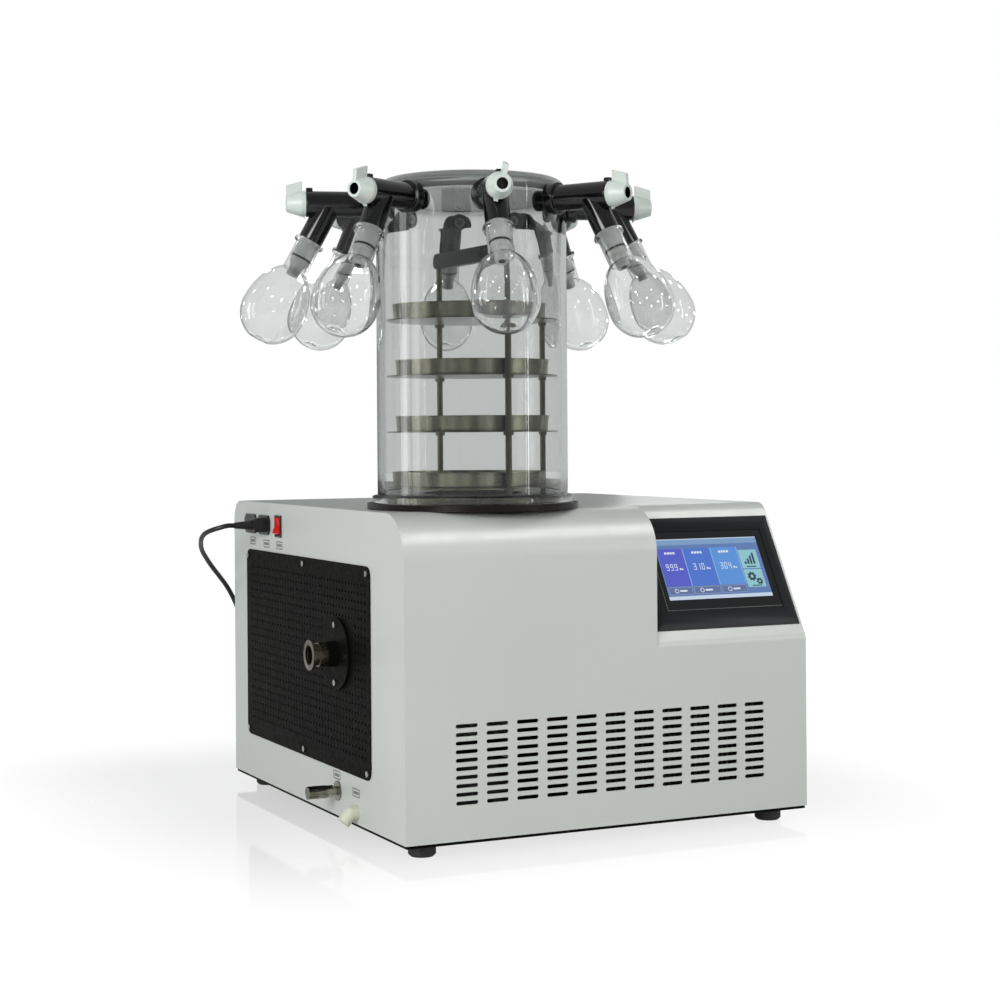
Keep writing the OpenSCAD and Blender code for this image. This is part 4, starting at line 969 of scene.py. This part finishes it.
def branch_place(joint):
    """Z runs down the branch from the port's axis."""
    return (
        port_place(joint)
        @ Matrix.Translation((BRANCH_FROM * MM, 0, 0))
        @ Matrix.Rotation(math.pi - BRANCH_LEAN, 4, "Y")
    )


SIDE_STEPS = 20


def flask_side(inset):
    """The flask's outline from its neck to its foot, as (radius, distance from the rim)."""
    r, tall = BULB_R - inset, SHOULDER - inset
    start = math.acos((NECK_R - inset) / r)
    turns = [start * (1 - k / SIDE_STEPS) for k in range(SIDE_STEPS)]
    shoulder = [(r * math.cos(a), BULB_DROP - tall * math.sin(a)) for a in turns]
    bulb = arc_points((0, BULB_DROP), r, 0, 70, SIDE_STEPS)
    low = BULB_DROP + r
    middle = low - PUSH_UP
    foot = [(12.0, low - 2.1), (9.5, low - 1.9), (7, low - 2.7), (3.5, middle + 0.4), (0, middle)]
    return shoulder + bulb + foot


def flask_profile():
    bore = NECK_R - FLASK_WALL
    outer = rounded(
        [(bore, 0), (RIM_R, 0), (RIM_R, RIM_T), (NECK_R, RIM_T + 2), (NECK_R, NECK_H)], [1.2, 2.2, 2.2, 2, 0]
    )
    return outer + flask_side(0) + flask_side(FLASK_WALL)[::-1] + [(bore, NECK_H), (bore, 1.5)]


# Profiles about the port's axis, then about its branch, as (radius, distance along it)
VALVE_PROFILE = rounded(
    [
        (7.3, 101.9), (13.6, 101.9), (13.6, 108.8), (11, 108.8), (11, 125.2), (20.8, 125.2), (20.8, 140.2),
        (16.8, 140.2), (16.8, 217), (11.2, 217), (11.2, 149.6), (7.3, 149.6),
    ],
    [1.2, 2.2, 1.2, 0.8, 0.8, 3, 3, 1.2, 1.6, 0.4, 0, 0],
)
BRANCH_PROFILE = rounded(
    [(0, 0), (16, 0), (16, BRANCH_LEN), (6.5, BRANCH_LEN), (6.5, 20), (0, 20)], [0, 0, 1.6, 0.4, 0, 0]
)
# The adapter's cone, the groove of its ring, a second ridge and its tip
ADAPTER_PROFILE = rounded(
    [
        (6.6, 54), (13.9, 54), (13.2, 78.5), (11.6, 78.5), (11.6, 81.5), (12.6, 81.5), (12.4, 88), (10.6, 90),
        (8.8, 94), (8.4, 106), (4.7, 106), (4.7, 95), (6.6, 92),
    ],
    [0, 0.4, 0.4, 0.2, 0.2, 0.4, 0.8, 1, 1, 0.6, 0.6, 0, 0],
)
ORING_PROFILE = arc_points((12.75, 80), 1.35, 0, 330, 11)
# A thin black tube lining the adapter tip's bore: painted shade in the hole
BORE_SHADE_PROFILE = [(4.3, 95.5), (4.68, 95.5), (4.68, 105.4), (4.3, 105.4)]
# A thin black cup in the knob's recess, which makes the hole look dark
KNOB_HOLE_DARK = [(0, 228.05), (7.15, 228.05), (7.15, 240.8), (6.9, 240.8), (6.9, 228.6), (0, 228.6)]
VALVE_CORE = rounded([(4.6, 101.9), (7.25, 101.9), (7.25, 125), (4.6, 125)], [0.6, 0.6, 0, 0])


def nub(name, place, material):
    """The small raised mark on top of a valve, by its knob."""
    outline = rounded([(208, 13), (216.6, 13), (216.6, 20.8), (208, 20.8)], [0, 0, 1.2, 1.2])
    return plate(name, outline, [], -3, 3, place @ Matrix.Rotation(math.pi / 2, 4, "X"), material, 0.4)


def make_port(number_of, joint):
    black = MATERIAL["valve_rubber"]
    rubber_body = lathe(f"valve_rubber_{number_of}", VALVE_PROFILE, outwards(joint), black, 72)
    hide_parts(f"valve_body_{number_of}")
    branch = lathe(f"valve_branch_{number_of}", BRANCH_PROFILE, branch_place(joint), black, 64)
    mark = nub(f"valve_nub_{number_of}", port_place(joint), black)
    lathe(f"adapter_{number_of}", ADAPTER_PROFILE, branch_place(joint), ADAPTER, 48)
    ring = lathe(f"adapter_ring_{number_of}", ORING_PROFILE, branch_place(joint), black, 48)
    # Painted shade: a black lining in the adapter tip's bore
    bore_shade = lathe(f"adapter_spout_{number_of}", BORE_SHADE_PROFILE, branch_place(joint), black, 32)
    # The black cup in the knob's recess turns with the knob
    hole_dark = lathe(f"knob_liner_{number_of}", KNOB_HOLE_DARK, outwards(joint), black, 48)
    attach(hole_dark, joint["child"])
    lathe(f"valve_core_{number_of}", VALVE_CORE, outwards(joint), MATERIAL["knob_plastic"], 48)
    flask_at = branch_place(joint) @ Matrix.Translation((0, 0, BRANCH_LEN * MM))
    glass = LIGHTER_GLASS_COPY if number_of in LIGHTER_COPY_FLASKS else MATERIAL["flask_glass"]
    flask = lathe(f"flask_body_{number_of}", flask_profile(), flask_at, glass, 96)
    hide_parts(f"flask_{number_of}")


for index, joint in enumerate(KNOB_JOINTS):
    make_port(index + 1, joint)


# ---- Mains lead ----

CORD_D = 7.0
# The last points before the coil leave the lead just above the floor, as the curve swings under its points
CORD_ROUTE = [
    (-46, 513, 372), (-56, 513, 372), (-66, 516, 369.5), (-75, 524, 366), (-80, 536, 362), (-81, 550, 357),
    (-79, 565, 351), (-75, 580, 345), (-70, 595, 338), (-63, 610, 330), (-54, 624, 321), (-44, 637, 311),
    (-33, 648, 300), (-21, 658, 288), (-9, 667, 275), (2, 675, 260), (12, 682, 243), (21, 688, 224),
    (29, 693, 203), (36, 697, 181), (42, 700, 158), (47, 702, 134), (52, 704, 110), (57, 705, 86),
    (62, 705, 62), (68, 704, 39), (76, 702, 18), (88, 698, 1), (104, 693, -11), (122, 687.5, -16.2),
    (138, 685, -17.1), (154, 685, -17.35), (170, 685, -17.35),
]
CORD_TAIL = [(172, 769, -11.2), (165, 769, -12.8), (158, 769, -13.8), (148, 769, -14), (136, 769, -14)]
COIL = (180, 727)
COIL_OUTER, COIL_INNER = 42, 35
COIL_LOW, COIL_HIGH = -17.35, -10.5
COIL_STAGES = [
    (-90, COIL_OUTER, COIL_LOW), (180, COIL_OUTER, COIL_LOW), (235, COIL_INNER, COIL_LOW),
    (490, COIL_INNER, COIL_LOW), (540, COIL_INNER, COIL_HIGH), (815, COIL_INNER, COIL_HIGH),
    (860, COIL_OUTER, COIL_HIGH), (1170, COIL_OUTER, COIL_HIGH),
]
TURN_POINTS = 18


def coil_points():
    """The stored turns: each stage goes from one (turn in degrees, radius, height) to the next."""
    points = []
    for (turn, radius, height), (turn_to, radius_to, height_to) in zip(COIL_STAGES, COIL_STAGES[1:]):
        steps = math.ceil((turn_to - turn) * TURN_POINTS / 360)
        for step in range(steps):
            part = step / steps
            ease = part * part * (3 - 2 * part)
            a = math.radians(turn + (turn_to - turn) * part)
            r = radius + (radius_to - radius) * ease
            z = height + (height_to - height) * ease
            points.append((COIL[0] + r * math.cos(a), COIL[1] + r * math.sin(a), z))
    return points


def make_lead():
    route = [case(*p) for p in CORD_ROUTE + coil_points() + CORD_TAIL]
    curve = bpy.data.curves.new("mains_lead", "CURVE")
    curve.dimensions = "3D"
    curve.bevel_depth = CORD_D / 2 * MM
    curve.bevel_resolution = 5
    curve.resolution_u = 5
    curve.use_fill_caps = True
    spline = curve.splines.new("BEZIER")
    spline.bezier_points.add(len(route) - 1)
    for point, place in zip(spline.bezier_points, route):
        point.co = place
        point.handle_left_type = point.handle_right_type = "AUTO"
    lead = bpy.data.objects.new("mains_lead", curve)
    bpy.context.scene.collection.objects.link(lead)
    curve.materials.append(MATERIAL["cord_rubber"])
    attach(lead, "root")
    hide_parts("mains_cord", "cord_coil")


make_lead()
share_lights()

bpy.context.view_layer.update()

view = bpy.context.scene.view_settings
view.view_transform = "Standard"
